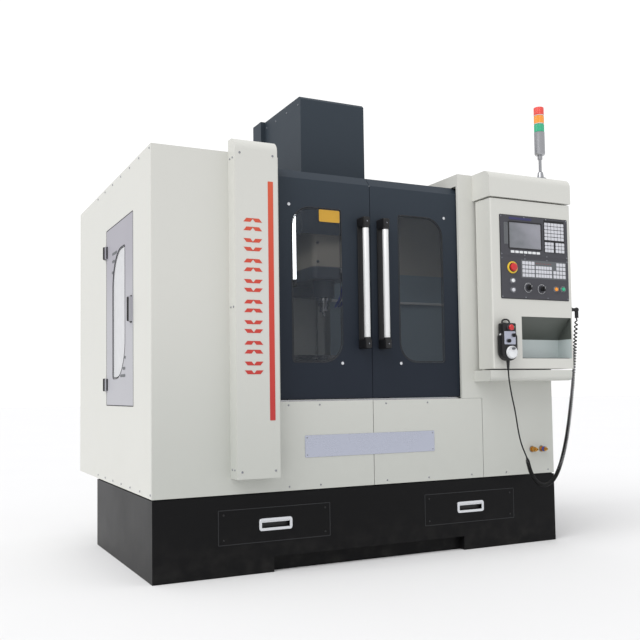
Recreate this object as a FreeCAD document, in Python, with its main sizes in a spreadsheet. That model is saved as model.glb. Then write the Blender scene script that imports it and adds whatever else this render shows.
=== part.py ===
import FreeCAD, Part
import math
import os
from types import SimpleNamespace

import Sketcher
from FreeCAD import Placement, Rotation, Vector

# Small vertical machining centre. Millimetres, +X right along the front, +Y back, +Z up.
# The origin is on the floor, at the centre of the anchor holes of the base.
# Distances named ..._back are measured back from the front plane of the enclosure.

DIMENSIONS = {
    # base, kick recess and chip drawers
    "base_wide": 2200, "base_deep": 1130, "base_high": 352, "base_sheet": 4,
    "lip_wide": 40, "curb_high": 6, "curb_inset": 8, "anchor_inset": 60, "anchor_radius": 9,
    "kick_high": 68, "kick_left": 540, "kick_right": 505, "kick_back": 40,
    "drawer_wide": 546, "drawer_high": 149, "drawer_deep": 560, "drawer_low": 140,
    "drawer_gap": 2, "drawer_sheet": 3, "left_drawer_at": 530, "right_drawer_at": 547,
    "pull_wide": 157, "pull_high": 50, "pull_deep": 20, "seat_gap": 0.3,
    # sheet-metal enclosure
    "skin": 3, "body_top": 1900, "right_rise": 26, "seam": 3, "roof_lip": 35,
    "opening_left": 500, "opening_right": 512, "opening_low": 765, "jamb_deep": 15,
    "seam_left": 12, "seam_right": 635, "flange_wide": 20,
    "accent_left": 745, "accent_wide": 205, "accent_low": 430, "accent_proud": 85,
    "accent_top": 1950, "accent_round": 50, "accent_corner": 14,
    # sliding doors, windows and handles
    "door_low": 775, "door_flat_top": 1820, "door_top": 1864, "door_back": 22,
    "door_fold_deep": 38, "door_pan_deep": 36, "door_overlap": 45, "door_meeting_gap": 3,
    "glide_wide": 6, "glide_gap": 0.4, "rail_high": 27, "rail_wide": 36,
    "window_inner": 160, "window_wide": 265, "window_low": 948, "window_high": 740,
    "window_big_round": 100, "window_small_round": 14, "window_lap": 20, "glazing": 5,
    "handle_at": 55, "handle_low": 1012, "handle_high": 640, "handle_wide": 36,
    "handle_proud": 72, "bracket_high": 48, "grip_radius": 15, "handle_plate": 8,
    # side door
    "side_door_front": 324, "side_door_wide": 574, "side_door_low": 753, "side_door_high": 914,
    "side_door_gap": 3, "side_pan_deep": 18, "side_window_front": 482, "side_window_wide": 266,
    "side_window_low": 888, "side_window_high": 645, "side_window_round": 190,
    "side_hinge_out": 9,
    # electrical cabinet
    "cabinet_wide": 620, "cabinet_deep": 480, "cabinet_door_pan": 18,
    # castings and axes
    "bed_half": 230, "bed_front": 280, "bed_back": 820, "bed_low": 40, "bed_plate_low": 690,
    "bed_top": 750, "bed_plate_front": 150, "foot_half": 330, "foot_front": 760,
    "foot_top": 560, "casting_wall": 40,
    "way_inner": 150, "way_outer": 190, "way_high": 25, "way_gap": 0.3,
    "column_half": 175, "column_front": 885, "column_top": 2195,
    "column_way_inner": 118, "column_way_outer": 158, "column_way_proud": 23,
    "spindle_back": 545, "splash_back": 853,
    "table_half": 400, "table_deep": 300, "table_low": 916,
    "table_top": 1000, "slot_wide": 14, "slot_deep": 26, "slot_under_wide": 24,
    "slot_under_high": 10, "slot_pitch": 80, "saddle_half": 340, "saddle_deep": 355,
    "saddle_back": 512, "saddle_top": 890, "nose_high": 1300, "cartridge_radius": 60,
    "cartridge_high": 92, "nose_radius": 44, "nose_flange": 17, "spindle_radius": 35,
    "bearing_gap": 0.05, "head_half": 110, "head_front": 440, "head_low": 1410,
    "head_top": 1830, "slide_half": 166, "slide_thick": 38, "motor_half": 90,
    "motor_high": 280, "servo_half": 65, "servo_high": 160,
    # tool holders and umbrella magazine
    "flange_radius": 31.5, "holder_high": 80, "taper_radius": 22, "taper_high": 62,
    "tool_count": 12, "drum_pitch_radius": 200, "drum_rest": 600, "drum_radius": 214,
    "drum_thick": 12, "drum_below_nose": 8, "drum_hub_radius": 40, "shaft_radius": 15,
    "arm_low": 1445, "arm_thick": 30, "gearmotor_radius": 45, "gearmotor_high": 120,
    "rail_back": 790, "rail_deep": 25, "rail_low": 1505, "rail_tall": 36,
    # column hood
    "hood_half": 190, "hood_front": 405, "hood_low": 1640, "hood_top": 2370,
    "hood_step": 890, "hood_rear_half": 217, "hood_rear_low": 1900, "hood_back": 1010,
    "hood_fold": 14,
    # swivelling control box between its hood and its shelf
    "control_left": 610, "control_wide": 526, "control_low": 912, "control_high": 870,
    "control_proud": 140, "control_behind": 18, "control_round": 8, "control_wall": 2.5,
    "control_hood_proud": 146, "control_hood_low": 1790, "control_hood_left": 604,
    "control_hood_round": 44, "control_hood_corner": 30, "shelf_low": 850, "shelf_high": 55,
    "shelf_left": 590, "shelf_right": 1120, "shelf_round": 24, "pivot_in": 18, "pivot_back": 40,
    "pivot_radius": 8, "pivot_collar": 14,
    "panel_left": 668, "panel_wide": 442, "panel_thick": 4, "display_low": 1492,
    "display_high": 208, "operator_low": 1272, "operator_high": 212, "panel_lap": 10,
    "screen_left": 724, "screen_wide": 207, "screen_low": 1533, "screen_high": 132,
    "cubby_left": 793, "cubby_right": 1124, "cubby_low": 965, "cubby_high": 215,
    "cubby_deep": 105, "cubby_slope_low": 1068,
    "stop_radius": 20, "button_radius": 10, "knob_radius": 13, "stem_radius": 6,
    "stem_gap": 0.05, "button_travel": 4, "collar_wall": 3, "collar_high": 6,
    # stack light
    "light_at": 1005, "light_forward": 70, "light_radius": 28, "post_radius": 8,
    "light_low": 2060, "lens_low": 2184, "lens_high": 46, "lens_gap": 1,
    # hand pendant
    "pendant_at": 672, "pendant_wide": 98, "pendant_low": 950, "pendant_high": 190,
    "pendant_deep": 42, "pendant_round": 10, "wheel_radius": 32, "wheel_high": 992,
    "wheel_thick": 14, "small_knob_radius": 8,
    # cord
    "cord_diameter": 7, "curl_diameter": 22,
    # compressed-air and coolant couplings
    "coupling_first": 954, "coupling_second": 1018, "coupling_high": 488, "coupling_radius": 11,
}


class Size:
    """A length that carries its number and the sheet expression that gives it."""

    def __init__(self, value, text):
        self.value = value
        self.text = text

    @staticmethod
    def of(other):
        if isinstance(other, Size):
            return other
        return Size(float(other), f"({float(other)!r})")

    def join(self, other, sign, value):
        return Size(value, f"({self.text} {sign} {other.text})")

    def __add__(self, other):
        other = Size.of(other)
        return self.join(other, "+", self.value + other.value)

    def __sub__(self, other):
        other = Size.of(other)
        return self.join(other, "-", self.value - other.value)

    def __mul__(self, other):
        other = Size.of(other)
        return self.join(other, "*", self.value * other.value)

    def __truediv__(self, other):
        other = Size.of(other)
        return self.join(other, "/", self.value / other.value)

    def __radd__(self, other):
        return Size.of(other) + self

    def __rsub__(self, other):
        return Size.of(other) - self

    def __rmul__(self, other):
        return Size.of(other) * self

    def __neg__(self):
        return Size.of(0) - self

    def __float__(self):
        return float(self.value)


doc = FreeCAD.newDocument("MachiningCentre")
sheet = doc.addObject("Spreadsheet::Sheet", "Dims")
for row, (alias, number) in enumerate(DIMENSIONS.items(), start=1):
    sheet.set(f"A{row}", alias)
    sheet.set(f"B{row}", str(number))
    sheet.setAlias(f"B{row}", alias)
doc.recompute()

d = SimpleNamespace(**{alias: Size(float(sheet.get(alias)), f"Dims.{alias}")
                       for alias in DIMENSIONS})
cuts = []       # (feature, feature before it): each one has to remove material
sub_parts = []  # finished sub-parts, each exported to its own file


# ---------------------------------------------------------------- building helpers

def bind(target, prop, size):
    """Drive a property of a document object from the sheet."""
    target.setExpression(prop, Size.of(size).text)


def box(name, x, y, z):
    """A block between two faces along each axis."""
    block = doc.addObject("Part::Box", name)
    for prop, (low, high) in zip(("Length", "Width", "Height"), (x, y, z)):
        bind(block, prop, Size.of(high) - low)
    for axis, (low, _) in zip("xyz", (x, y, z)):
        bind(block, f"Placement.Base.{axis}", low)
    return block


TURN_TO = {
    "x": Rotation(Vector(0, 1, 0), 90),
    "y": Rotation(Vector(1, 0, 0), -90),
    "z": Rotation(),
}


def place_round(target, axis, start, centre):
    """Lay a round primitive along an axis, from start, with its other two coordinates."""
    target.Placement = Placement(Vector(), TURN_TO[axis])
    others = [letter for letter in "xyz" if letter != axis]
    bind(target, f"Placement.Base.{axis}", start)
    for letter, value in zip(others, centre):
        bind(target, f"Placement.Base.{letter}", value)


def rod(name, axis, radius, span, centre):
    """A cylinder along an axis, from span[0] to span[1]."""
    cylinder = doc.addObject("Part::Cylinder", name)
    bind(cylinder, "Radius", radius)
    bind(cylinder, "Height", Size.of(span[1]) - span[0])
    place_round(cylinder, axis, span[0], centre)
    return cylinder


def taper(name, axis, radii, span, centre):
    """A cone along an axis, with its radius at each end."""
    cone = doc.addObject("Part::Cone", name)
    bind(cone, "Radius1", radii[0])
    bind(cone, "Radius2", radii[1])
    bind(cone, "Height", Size.of(span[1]) - span[0])
    place_round(cone, axis, span[0], centre)
    return cone


def fuse(name, *pieces):
    """One solid of pieces that overlap or share faces."""
    joined = doc.addObject("Part::MultiFuse", name)
    joined.Shapes = list(pieces)
    joined.Refine = True
    return joined


def cut(name, base, *tools):
    """A piece with hollows and holes cut out of it."""
    tool = tools[0] if len(tools) == 1 else fuse(f"{name}_hollows", *tools)
    result = doc.addObject("Part::Cut", name)
    result.Base = base
    result.Tool = tool
    result.Refine = True
    cuts.append((result, base))
    return result


def group(name, *pieces):
    """Separate solids of one kind in one node."""
    compound = doc.addObject("Part::Compound", name)
    compound.Links = list(pieces)
    return compound


def rounded(name, base, radius, wanted):
    """Round the edges of a block that the test picks out."""
    doc.recompute()
    result = doc.addObject("Part::Fillet", name)
    result.Base = base
    size = float(radius)
    result.Edges = [(index, size, size) for index, edge in enumerate(base.Shape.Edges, 1)
                    if wanted(edge)]
    return result


def edge_along(axis, **near):
    """A test for straight edges along an axis that lie at the given coordinates."""
    def wanted(edge):
        low, high = edge.Vertexes[0].Point, edge.Vertexes[-1].Point
        direction = high - low
        along = abs(getattr(direction, axis)) > 0.99 * direction.Length > 0
        return along and all(abs(getattr(low, letter) - float(at)) < 0.01
                             for letter, at in near.items())
    return wanted


def any_edge(*tests):
    return lambda edge: any(test(edge) for test in tests)


# Sketch planes: role, sign of the plane's normal along its axis.
PLANES = {"xy": ("XY_Plane", 1), "xz": ("XZ_Plane", -1), "yz": ("YZ_Plane", 1)}


def outline_sketch(body, plane, corners, level):
    """A closed outline of (u, v) or (u, v, radius) corners at a level along the plane's axis.

    Rounded corners join two edges that meet at a right angle."""
    role, sign = PLANES[plane]
    sketch = body.newObject("Sketcher::SketchObject", f"{body.Name}_outline")
    origin_plane = next(item for item in body.Origin.OriginFeatures if item.Role == role)
    sketch.AttachmentSupport = [(origin_plane, "")]
    sketch.MapMode = "FlatFace"
    bind(sketch, "AttachmentOffset.Base.z", Size.of(level) * sign)
    count = len(corners)
    points = [(Size.of(corner[0]), Size.of(corner[1])) for corner in corners]
    radii = [Size.of(corner[2]) if len(corner) > 2 else None for corner in corners]

    def unit(start, end):
        du = end[0].value - start[0].value
        dv = end[1].value - start[1].value
        length = math.hypot(du, dv)
        return du / length, dv / length

    def shifted(point, direction, radius):
        return (point[0] + radius * round(direction[0]), point[1] + radius * round(direction[1]))

    def vector(point):
        return Vector(point[0].value, point[1].value, 0)

    arrive, leave = [], []
    for index, (point, radius) in enumerate(zip(points, radii)):
        before = points[index - 1]
        after = points[(index + 1) % count]
        arrive.append(shifted(point, unit(point, before), radius) if radius else point)
        leave.append(shifted(point, unit(point, after), radius) if radius else point)
    for index in range(count):
        sketch.addGeometry(Part.LineSegment(vector(leave[index]), vector(arrive[(index + 1) % count])))

    def pin(line, end, point):
        for kind, value in zip(("DistanceX", "DistanceY"), point):
            number = sketch.addConstraint(Sketcher.Constraint(kind, -1, 1, line, end, value.value))
            label = f"{kind[-1].lower()}{line}_{end}"
            sketch.renameConstraint(number, label)
            bind(sketch, f"Constraints.{label}", value)

    for index, radius in enumerate(radii):
        line_in = (index - 1) % count
        pin(index, 1, leave[index])
        if radius is None:
            sketch.addConstraint(Sketcher.Constraint("Coincident", line_in, 2, index, 1))
            continue
        pin(line_in, 2, arrive[index])
        start, end, corner = vector(arrive[index]), vector(leave[index]), vector(points[index])
        centre = start + end - corner
        middle = centre + (corner - centre).normalize() * radius.value
        arc = sketch.addGeometry(Part.Arc(start, middle, end))
        swap = (sketch.Geometry[arc].StartPoint - start).Length > 0.001
        sketch.addConstraint(Sketcher.Constraint("Coincident", line_in, 2, arc, 2 if swap else 1))
        sketch.addConstraint(Sketcher.Constraint("Coincident", index, 1, arc, 1 if swap else 2))
        number = sketch.addConstraint(Sketcher.Constraint("Radius", arc, radius.value))
        sketch.renameConstraint(number, f"round{index}")
        bind(sketch, f"Constraints.round{index}", radius)
    return sketch


def slab(name, plane, corners, span):
    """A padded outline between two levels along the axis normal to the plane."""
    low, high = span
    body = doc.addObject("PartDesign::Body", name)
    sketch = outline_sketch(body, plane, corners, low if PLANES[plane][1] > 0 else high)
    pad = body.newObject("PartDesign::Pad", f"{name}_pad")
    pad.Profile = sketch
    bind(pad, "Length", Size.of(high) - low)
    body.Tip = pad
    return body


def turned(name, profile, centre):
    """A turned piece: (radius, height) corners revolved about a vertical axis at centre."""
    body = doc.addObject("PartDesign::Body", name)
    sketch = outline_sketch(body, "xz", profile, 0)
    turn = body.newObject("PartDesign::Revolution", f"{name}_turn")
    turn.Profile = sketch
    turn.ReferenceAxis = (sketch, ["V_Axis"])
    turn.Angle = 360
    body.Tip = turn
    for letter, value in zip("xy", centre):
        bind(body, f"Placement.Base.{letter}", value)
    return body


def made(name, shape):
    """A piece whose shape is worked out with Part's own functions."""
    feature = doc.addObject("Part::Feature", name)
    feature.Shape = shape
    return feature


def keep(node, piece):
    """Label a finished piece with its node name and put it on the export list."""
    piece.Label = node
    sub_parts.append(piece)
    return piece


def leaf(low_u, high_u, low_v, high_v, big, small, big_at_low_u_top):
    """A rectangle with two large rounds at opposite corners and two small ones."""
    first, second = (small, big) if big_at_low_u_top else (big, small)
    return [(low_u, low_v, first), (high_u, low_v, second),
            (high_u, high_v, first), (low_u, high_v, second)]


# ---------------------------------------------------------------- shared places

left = -(d.base_wide / 2)
right = d.base_wide / 2
front = -(d.base_deep / 2)
back = d.base_deep / 2
body_low = d.base_high + d.curb_high
foot_rear = back - d.lip_wide - d.seat_gap
right_top = d.body_top + d.right_rise
open_left = -d.opening_left
spindle_y = front + d.spindle_back
door_rear = front + d.door_back + d.door_pan_deep
box_front = front - d.control_proud
control_right = d.control_left + d.control_wide
control_top = d.control_low + d.control_high


def mirrored(side, inner, outer):
    """A span along X on the left (-1) or right (+1) of the middle plane."""
    if side > 0:
        return (Size.of(inner), Size.of(outer))
    return (-Size.of(outer), -Size.of(inner))


# ---------------------------------------------------------------- base

def build_base_casing():
    """Black skirt: four walls, top lip, curb, kick recess, drawer holes and runners."""
    t = d.base_sheet
    outer = box("skirt_outer", (left, right), (front, back), (0, d.base_high))
    inner = box("skirt_inner", (left + t, right - t), (front + t, back - t), (-1, d.base_high + 1))
    walls = cut("skirt_walls", outer, inner)
    lip_block = box("lip_block", (left, right), (front, back), (d.base_high - t, d.base_high))
    lip_hole = box("lip_hole", (left + d.lip_wide, right - d.lip_wide),
                   (front + d.lip_wide, back - d.lip_wide), (d.base_high - t - 1, d.base_high + 1))
    lip = cut("skirt_lip", lip_block, lip_hole)
    inset = d.curb_inset
    curb_block = box("curb_block", (left + inset, right - inset), (front + inset, back - inset),
                     (d.base_high, body_low))
    curb_hole = box("curb_hole", (left + d.lip_wide, right - d.lip_wide),
                    (front + d.lip_wide, back - d.lip_wide), (d.base_high - 1, body_low + 1))
    curb = cut("skirt_curb", curb_block, curb_hole)
    kick_x = (-d.kick_left, d.kick_right)
    kick_face = box("kick_face", (kick_x[0] - t, kick_x[1] + t),
                    (front + d.kick_back, front + d.kick_back + t), (0, d.kick_high + t))
    kick_roof = box("kick_roof", (kick_x[0] - t, kick_x[1] + t),
                    (front, front + d.kick_back + t), (d.kick_high, d.kick_high + t))
    kick_ends = [box(f"kick_end_{side}", span, (front, front + d.kick_back + t),
                     (0, d.kick_high + t))
                 for side, span in (("left", (kick_x[0] - t, kick_x[0])),
                                    ("right", (kick_x[1], kick_x[1] + t)))]
    anchors, drawer_holes, runners = [], [], []
    for at in (-d.left_drawer_at, d.right_drawer_at):
        half = d.drawer_wide / 2
        name = "left" if at.value < 0 else "right"
        drawer_holes.append(box(f"{name}_drawer_hole", (at - half - d.drawer_gap, at + half + d.drawer_gap),
                                (front - 1, front + t + 1),
                                (d.drawer_low - d.drawer_gap,
                                 d.drawer_low + d.drawer_high + d.drawer_gap)))
        for side in (-1, 1):
            edge = at + side * (half - 14)
            guide = at + side * (half - 6)
            runner_y = (front + t - 1, front + d.drawer_deep - 4)
            runners.append(box(f"{name}_runner_{side + 1}", (edge - t / 2, edge + t / 2), runner_y,
                               (0, d.drawer_low + d.drawer_sheet - d.seat_gap)))
            runners.append(box(f"{name}_guide_{side + 1}", (guide - 1, guide + 1),
                               (front + t + 8, runner_y[1]),
                               (d.drawer_low - 20, d.drawer_low + 26)))
            runners.append(box(f"{name}_guide_foot_{side + 1}",
                               (edge, guide) if side > 0 else (guide, edge),
                               (front + t + 8, runner_y[1]),
                               (d.drawer_low - 20, d.drawer_low - 17)))
    for x_side in (-1, 1):
        for y_side in (-1, 1):
            x_at = x_side * (right - d.anchor_inset)
            y_at = y_side * (back - d.anchor_inset)
            plate = box(f"anchor_plate_{x_side + 1}{y_side + 1}",
                        (x_at - d.anchor_inset, x_at + d.anchor_inset),
                        (y_at - d.anchor_inset, y_at + d.anchor_inset), (0, 8))
            runners.append(plate)
            anchors.append(rod(f"anchor_{x_side + 1}{y_side + 1}", "z", d.anchor_radius,
                               (-1, 9), (x_at, y_at)))
    notch = box("kick_notch", kick_x, (front - 1, front + t + 0.5), (-1, d.kick_high))
    under_notch = box("kick_clear", kick_x, (front - 1, front + d.kick_back), (-1, d.kick_high))
    rear_hole = box("tank_hole", (300, 900), (back - t - 1, back + 1), (20, 280))
    whole = fuse("skirt_whole", walls, lip, curb, kick_face, kick_roof, *kick_ends, *runners)
    return keep("base_casing", cut("base_casing", whole, notch, under_notch, rear_hole,
                                   *drawer_holes, *anchors))


def build_drawer(side, at):
    """A chip drawer: open tray, front plate and a recessed cup for its pull."""
    t = d.drawer_sheet
    half = d.drawer_wide / 2
    top = d.drawer_low + d.drawer_high
    plate = box(f"{side}_drawer_plate", (at - half, at + half), (front - 1, front + t),
                (d.drawer_low, top))
    tray_half = half - 9
    tray_y = (front + t, front + d.drawer_deep)
    tray = box(f"{side}_tray", (at - tray_half, at + tray_half), tray_y,
               (d.drawer_low + t, top - 12))
    hollow = box(f"{side}_tray_hollow", (at - tray_half + t, at + tray_half - t),
                 (tray_y[0] - 0, tray_y[1] - t), (d.drawer_low + 2 * t, top))
    open_tray = cut(f"{side}_open_tray", tray, hollow)
    pull_middle = d.drawer_low + d.drawer_high / 2
    pull_x = (at - d.pull_wide / 2, at + d.pull_wide / 2)
    pull_z = (pull_middle - d.pull_high / 2, pull_middle + d.pull_high / 2)
    cup = box(f"{side}_cup", (pull_x[0] - t, pull_x[1] + t),
              (front - 1, front + d.pull_deep + t), (pull_z[0] - t, pull_z[1] + t))
    cup_hollow = box(f"{side}_cup_hollow", pull_x, (front - 2, front + d.pull_deep), pull_z)
    whole = fuse(f"{side}_drawer_whole", plate, open_tray, cup)
    return keep(f"{side}_drawer", cut(f"{side}_drawer", whole, cup_hollow))


def build_levelling_pads():
    """Six screwed feet that carry the bed casting on the floor."""
    pads = []
    places = [(0.8 * d.bed_half, front + d.bed_front + 50), (0.8 * d.bed_half, front + 660),
              (0.85 * d.foot_half, foot_rear - 60)]
    for index, (x, y) in enumerate(places):
        for side in (-1, 1):
            name = f"pad_{index}_{side + 1}"
            pads.append(turned(name, [(0, 0), (45, 0), (45, 14), (18, 18), (12, 18),
                                      (12, d.bed_low), (0, d.bed_low)], (side * x, y)))
    return keep("levelling_pads", group("levelling_pads", *pads))


# ---------------------------------------------------------------- castings and axes

def build_bed():
    """Cast bed: hollow pedestal, top plate with two ways, and the foot of the column."""
    half = d.bed_half
    pedestal = box("bed_pedestal", (-half, half), (front + d.bed_front, front + d.bed_back),
                   (d.bed_low, d.bed_top))
    plate = box("bed_plate", (-half, half), (front + d.bed_plate_front, front + d.bed_back + 30),
                (d.bed_plate_low, d.bed_top))
    foot = box("bed_foot", (-d.foot_half, d.foot_half), (front + d.foot_front, foot_rear),
               (d.bed_low, d.foot_top))
    ways = [box(f"bed_way_{side + 1}", mirrored(side, d.way_inner, d.way_outer),
                (front + d.bed_plate_front + 5, front + d.bed_back + 30),
                (d.bed_top, d.bed_top + d.way_high)) for side in (-1, 1)]
    wall = d.casting_wall
    hollow = box("bed_hollow", (-half + wall, half - wall),
                 (front + d.bed_front + wall, front + d.foot_front), (0, d.bed_plate_low - wall))
    foot_hollow = box("foot_hollow", (-d.foot_half + wall, d.foot_half - wall),
                      (front + d.foot_front + wall, foot_rear - wall),
                      (0, d.foot_top - wall - 20))
    whole = fuse("bed_whole", pedestal, plate, foot, *ways)
    return keep("bed_casting", cut("bed_casting", whole, hollow, foot_hollow))


def build_column():
    """Cast column with two vertical ways, open at the back."""
    half = d.column_half
    y_front = front + d.column_front
    shaft = box("column_shaft", (-half, half), (y_front, foot_rear), (d.foot_top, d.column_top))
    ways = [box(f"column_way_{side + 1}", mirrored(side, d.column_way_inner, d.column_way_outer),
                (y_front - d.column_way_proud, y_front), (600, d.column_top - 5))
            for side in (-1, 1)]
    wall = d.casting_wall
    hollows = [box(f"column_hollow_{index}", (-half + wall, half - wall),
                   (y_front + wall, foot_rear + 1), (low, low + 320))
               for index, low in enumerate((620, 1000, 1380, 1760))]
    return keep("column_casting", cut("column_casting", fuse("column_whole", shaft, *ways), *hollows))


def build_saddle():
    """Saddle: runs front to back on the bed, with cross ways on top for the table."""
    half = d.saddle_half
    y_mid = front + d.saddle_back
    span_y = (y_mid - d.saddle_deep / 2, y_mid + d.saddle_deep / 2)
    low = d.bed_top + d.way_high + d.way_gap
    plate = box("saddle_plate", (-half, half), span_y, (low, d.saddle_top))
    gibs = [box(f"saddle_gib_{side + 1}",
                mirrored(side, d.way_outer + 0.5, d.way_outer + 26), span_y, (low - 18, low + 1))
            for side in (-1, 1)]
    ways = [box(f"cross_way_{side + 1}", (-half, half),
                (spindle_y + side * 115 - 22, spindle_y + side * 115 + 22),
                (d.saddle_top - 1, d.table_low - d.way_gap)) for side in (-1, 1)]
    chip_pocket = box("saddle_channel", (-130, 130), (span_y[0] - 1, span_y[1] + 1),
                      (low - 20, low + 30))
    whole = fuse("saddle_whole", plate, *gibs, *ways)
    return keep("saddle", cut("saddle", whole, chip_pocket))


def build_table():
    """Work table with three T-slots and a coolant gutter at each end."""
    half = d.table_half
    span_y = (spindle_y - d.table_deep / 2, spindle_y + d.table_deep / 2)
    block = box("table_block", (-half, half), span_y, (d.table_low, d.table_top))
    slots = []
    for index in (-1, 0, 1):
        y = spindle_y + index * d.slot_pitch
        slots.append(box(f"slot_{index + 1}", (-half - 1, half + 1),
                         (y - d.slot_wide / 2, y + d.slot_wide / 2),
                         (d.table_top - d.slot_deep, d.table_top + 1)))
        slots.append(box(f"slot_under_{index + 1}", (-half - 1, half + 1),
                         (y - d.slot_under_wide / 2, y + d.slot_under_wide / 2),
                         (d.table_top - d.slot_deep, d.table_top - d.slot_deep + d.slot_under_high)))
    belly = box("table_belly", (-half + 30, half - 30), (span_y[0] + 70, span_y[1] - 70),
                (d.table_low - 1, d.table_low + 20))
    return keep("table", cut("table", block, belly, *slots))


def build_head():
    """Spindle head casting: box with a slide plate on the column ways and a nose cartridge."""
    half = d.head_half
    slide_y = (front + d.column_front - d.column_way_proud - d.way_gap - d.slide_thick,
               front + d.column_front - d.column_way_proud - d.way_gap)
    block = box("head_block", (-half, half), (front + d.head_front, slide_y[0] + 1),
                (d.head_low, d.head_top))
    brow = rounded("head_brow", block, 30, edge_along("z", y=front + d.head_front))
    slide = box("head_slide", (-d.slide_half, d.slide_half), slide_y,
                (d.head_low - 60, d.head_top + 20))
    keeps = [box(f"head_keep_{side + 1}",
                 mirrored(side, d.column_way_inner - 24, d.column_way_inner - 0.4),
                 (slide_y[1] - 1, slide_y[1] + 18), (d.head_low - 60, d.head_top + 20))
             for side in (-1, 1)]
    cartridge = rod("cartridge", "z", d.cartridge_radius, (d.head_low - d.cartridge_high, d.head_low + 1),
                    (0, spindle_y))
    bore = rod("spindle_bore", "z", d.spindle_radius + d.bearing_gap,
               (d.nose_high, d.head_top + 1), (0, spindle_y))
    whole = fuse("head_whole", brow, slide, cartridge, *keeps)
    return keep("head_casting", cut("head_casting", whole, bore))


def build_spindle_motor():
    """Square finned spindle motor that stands on the head."""
    half = d.motor_half
    span_z = (d.head_top, d.head_top + d.motor_high)
    block = box("motor_block", (-half, half), (spindle_y - half, spindle_y + half), span_z)
    edges = any_edge(*[edge_along("z", x=x_side * half, y=spindle_y + y_side * half)
                       for x_side in (-1, 1) for y_side in (-1, 1)])
    soft = rounded("motor_soft", block, 14, edges)
    fins = []
    for index in range(7):
        z = d.head_top + 60 + 24 * index
        outer = box(f"fin_outer_{index}", (-half - 1, half + 1),
                    (spindle_y - half - 1, spindle_y + half + 1), (z, z + 10))
        inner = box(f"fin_inner_{index}", (-half + 8, half - 8),
                    (spindle_y - half + 8, spindle_y + half - 8), (z - 1, z + 11))
        fins.append(cut(f"fin_{index}", outer, inner))
    return keep("spindle_motor", cut("spindle_motor", soft, *fins))


def build_spindle():
    """Turning spindle: nose flange with two drive keys, shaft and the socket for holders."""
    low = d.nose_high
    gap = 0.15
    profile = [(d.taper_radius + gap, low), (d.nose_radius, low), (d.nose_radius, low + d.nose_flange),
               (d.spindle_radius, low + d.nose_flange), (d.spindle_radius, d.head_top - 4),
               (0, d.head_top - 4), (0, low + d.taper_high + 26), (9, low + d.taper_high + 26),
               (9, low + d.taper_high + 1), (12 + gap, low + d.taper_high)]
    return keep("spindle", turned("spindle", profile, (0, spindle_y)))


def holder_profile(flange_top):
    """A short milling holder: taper and knob above the grooved flange, chuck and cutter below."""
    low = flange_top - d.holder_high
    shank = flange_top + d.taper_high
    return [(0, low), (8, low), (8, low + 22), (20, low + 22), (24, low + 26), (24, flange_top - 27),
            (d.flange_radius, flange_top - 25), (d.flange_radius, flange_top - 17),
            (d.flange_radius - 4, flange_top - 14), (d.flange_radius, flange_top - 11),
            (d.flange_radius, flange_top - 2), (d.taper_radius, flange_top - 2),
            (d.taper_radius, flange_top), (12, shank), (6, shank), (6, shank + 14),
            (8, shank + 17), (8, shank + 22), (0, shank + 22)]


def build_tool_holder():
    """The holder that sits in the spindle."""
    return keep("tool_holder", turned("tool_holder", holder_profile(d.nose_high - 0.15), (0, spindle_y)))


def drum_places():
    """Pocket angles and centres of the magazine; pocket 0 faces the spindle and is empty."""
    count = int(d.tool_count.value)
    for index in range(count):
        angle = 2 * math.pi * index / count
        yield index, angle, (-d.drum_rest + d.drum_pitch_radius * math.cos(angle),
                             spindle_y + d.drum_pitch_radius * math.sin(angle))


def build_drum():
    """Umbrella drum: disc with a U-shaped pocket for each holder, on a hub."""
    centre = (-d.drum_rest, spindle_y)
    top = d.nose_high - d.drum_below_nose
    disc = rod("drum_disc", "z", d.drum_radius, (top - d.drum_thick, top), centre)
    hub = rod("drum_hub", "z", d.drum_hub_radius, (top - d.drum_thick, d.arm_low - 1), centre)
    bore = rod("drum_bore", "z", d.shaft_radius + d.bearing_gap, (top - 40, d.arm_low + 1), centre)
    pockets = []
    radius = d.flange_radius.value + 0.3
    reach = d.drum_radius.value + 40 - d.drum_pitch_radius.value
    low = top.value - d.drum_thick.value - 1
    for _, angle, (x, y) in drum_places():
        round_end = Part.makeCylinder(radius, d.drum_thick.value + 2, Vector(x.value, y.value, low))
        mouth = Part.makeBox(reach, 2 * radius, d.drum_thick.value + 2, Vector(0, -radius, low))
        mouth.Placement = Placement(Vector(x.value, y.value, 0),
                                    Rotation(Vector(0, 0, 1), math.degrees(angle)))
        pockets.append(round_end.fuse(mouth))
    pocket_cutter = made("drum_pockets", Part.makeCompound(pockets))
    return keep("magazine_drum", cut("magazine_drum", fuse("drum_whole", disc, hub), bore, pocket_cutter))


def build_magazine_tools():
    """A holder in every pocket but the one that faces the spindle."""
    holders = []
    for index, _, place in drum_places():
        if index:
            holders.append(turned(f"stored_{index}", holder_profile(d.nose_high), place))
    return keep("magazine_tools", group("magazine_tools", *holders))


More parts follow.
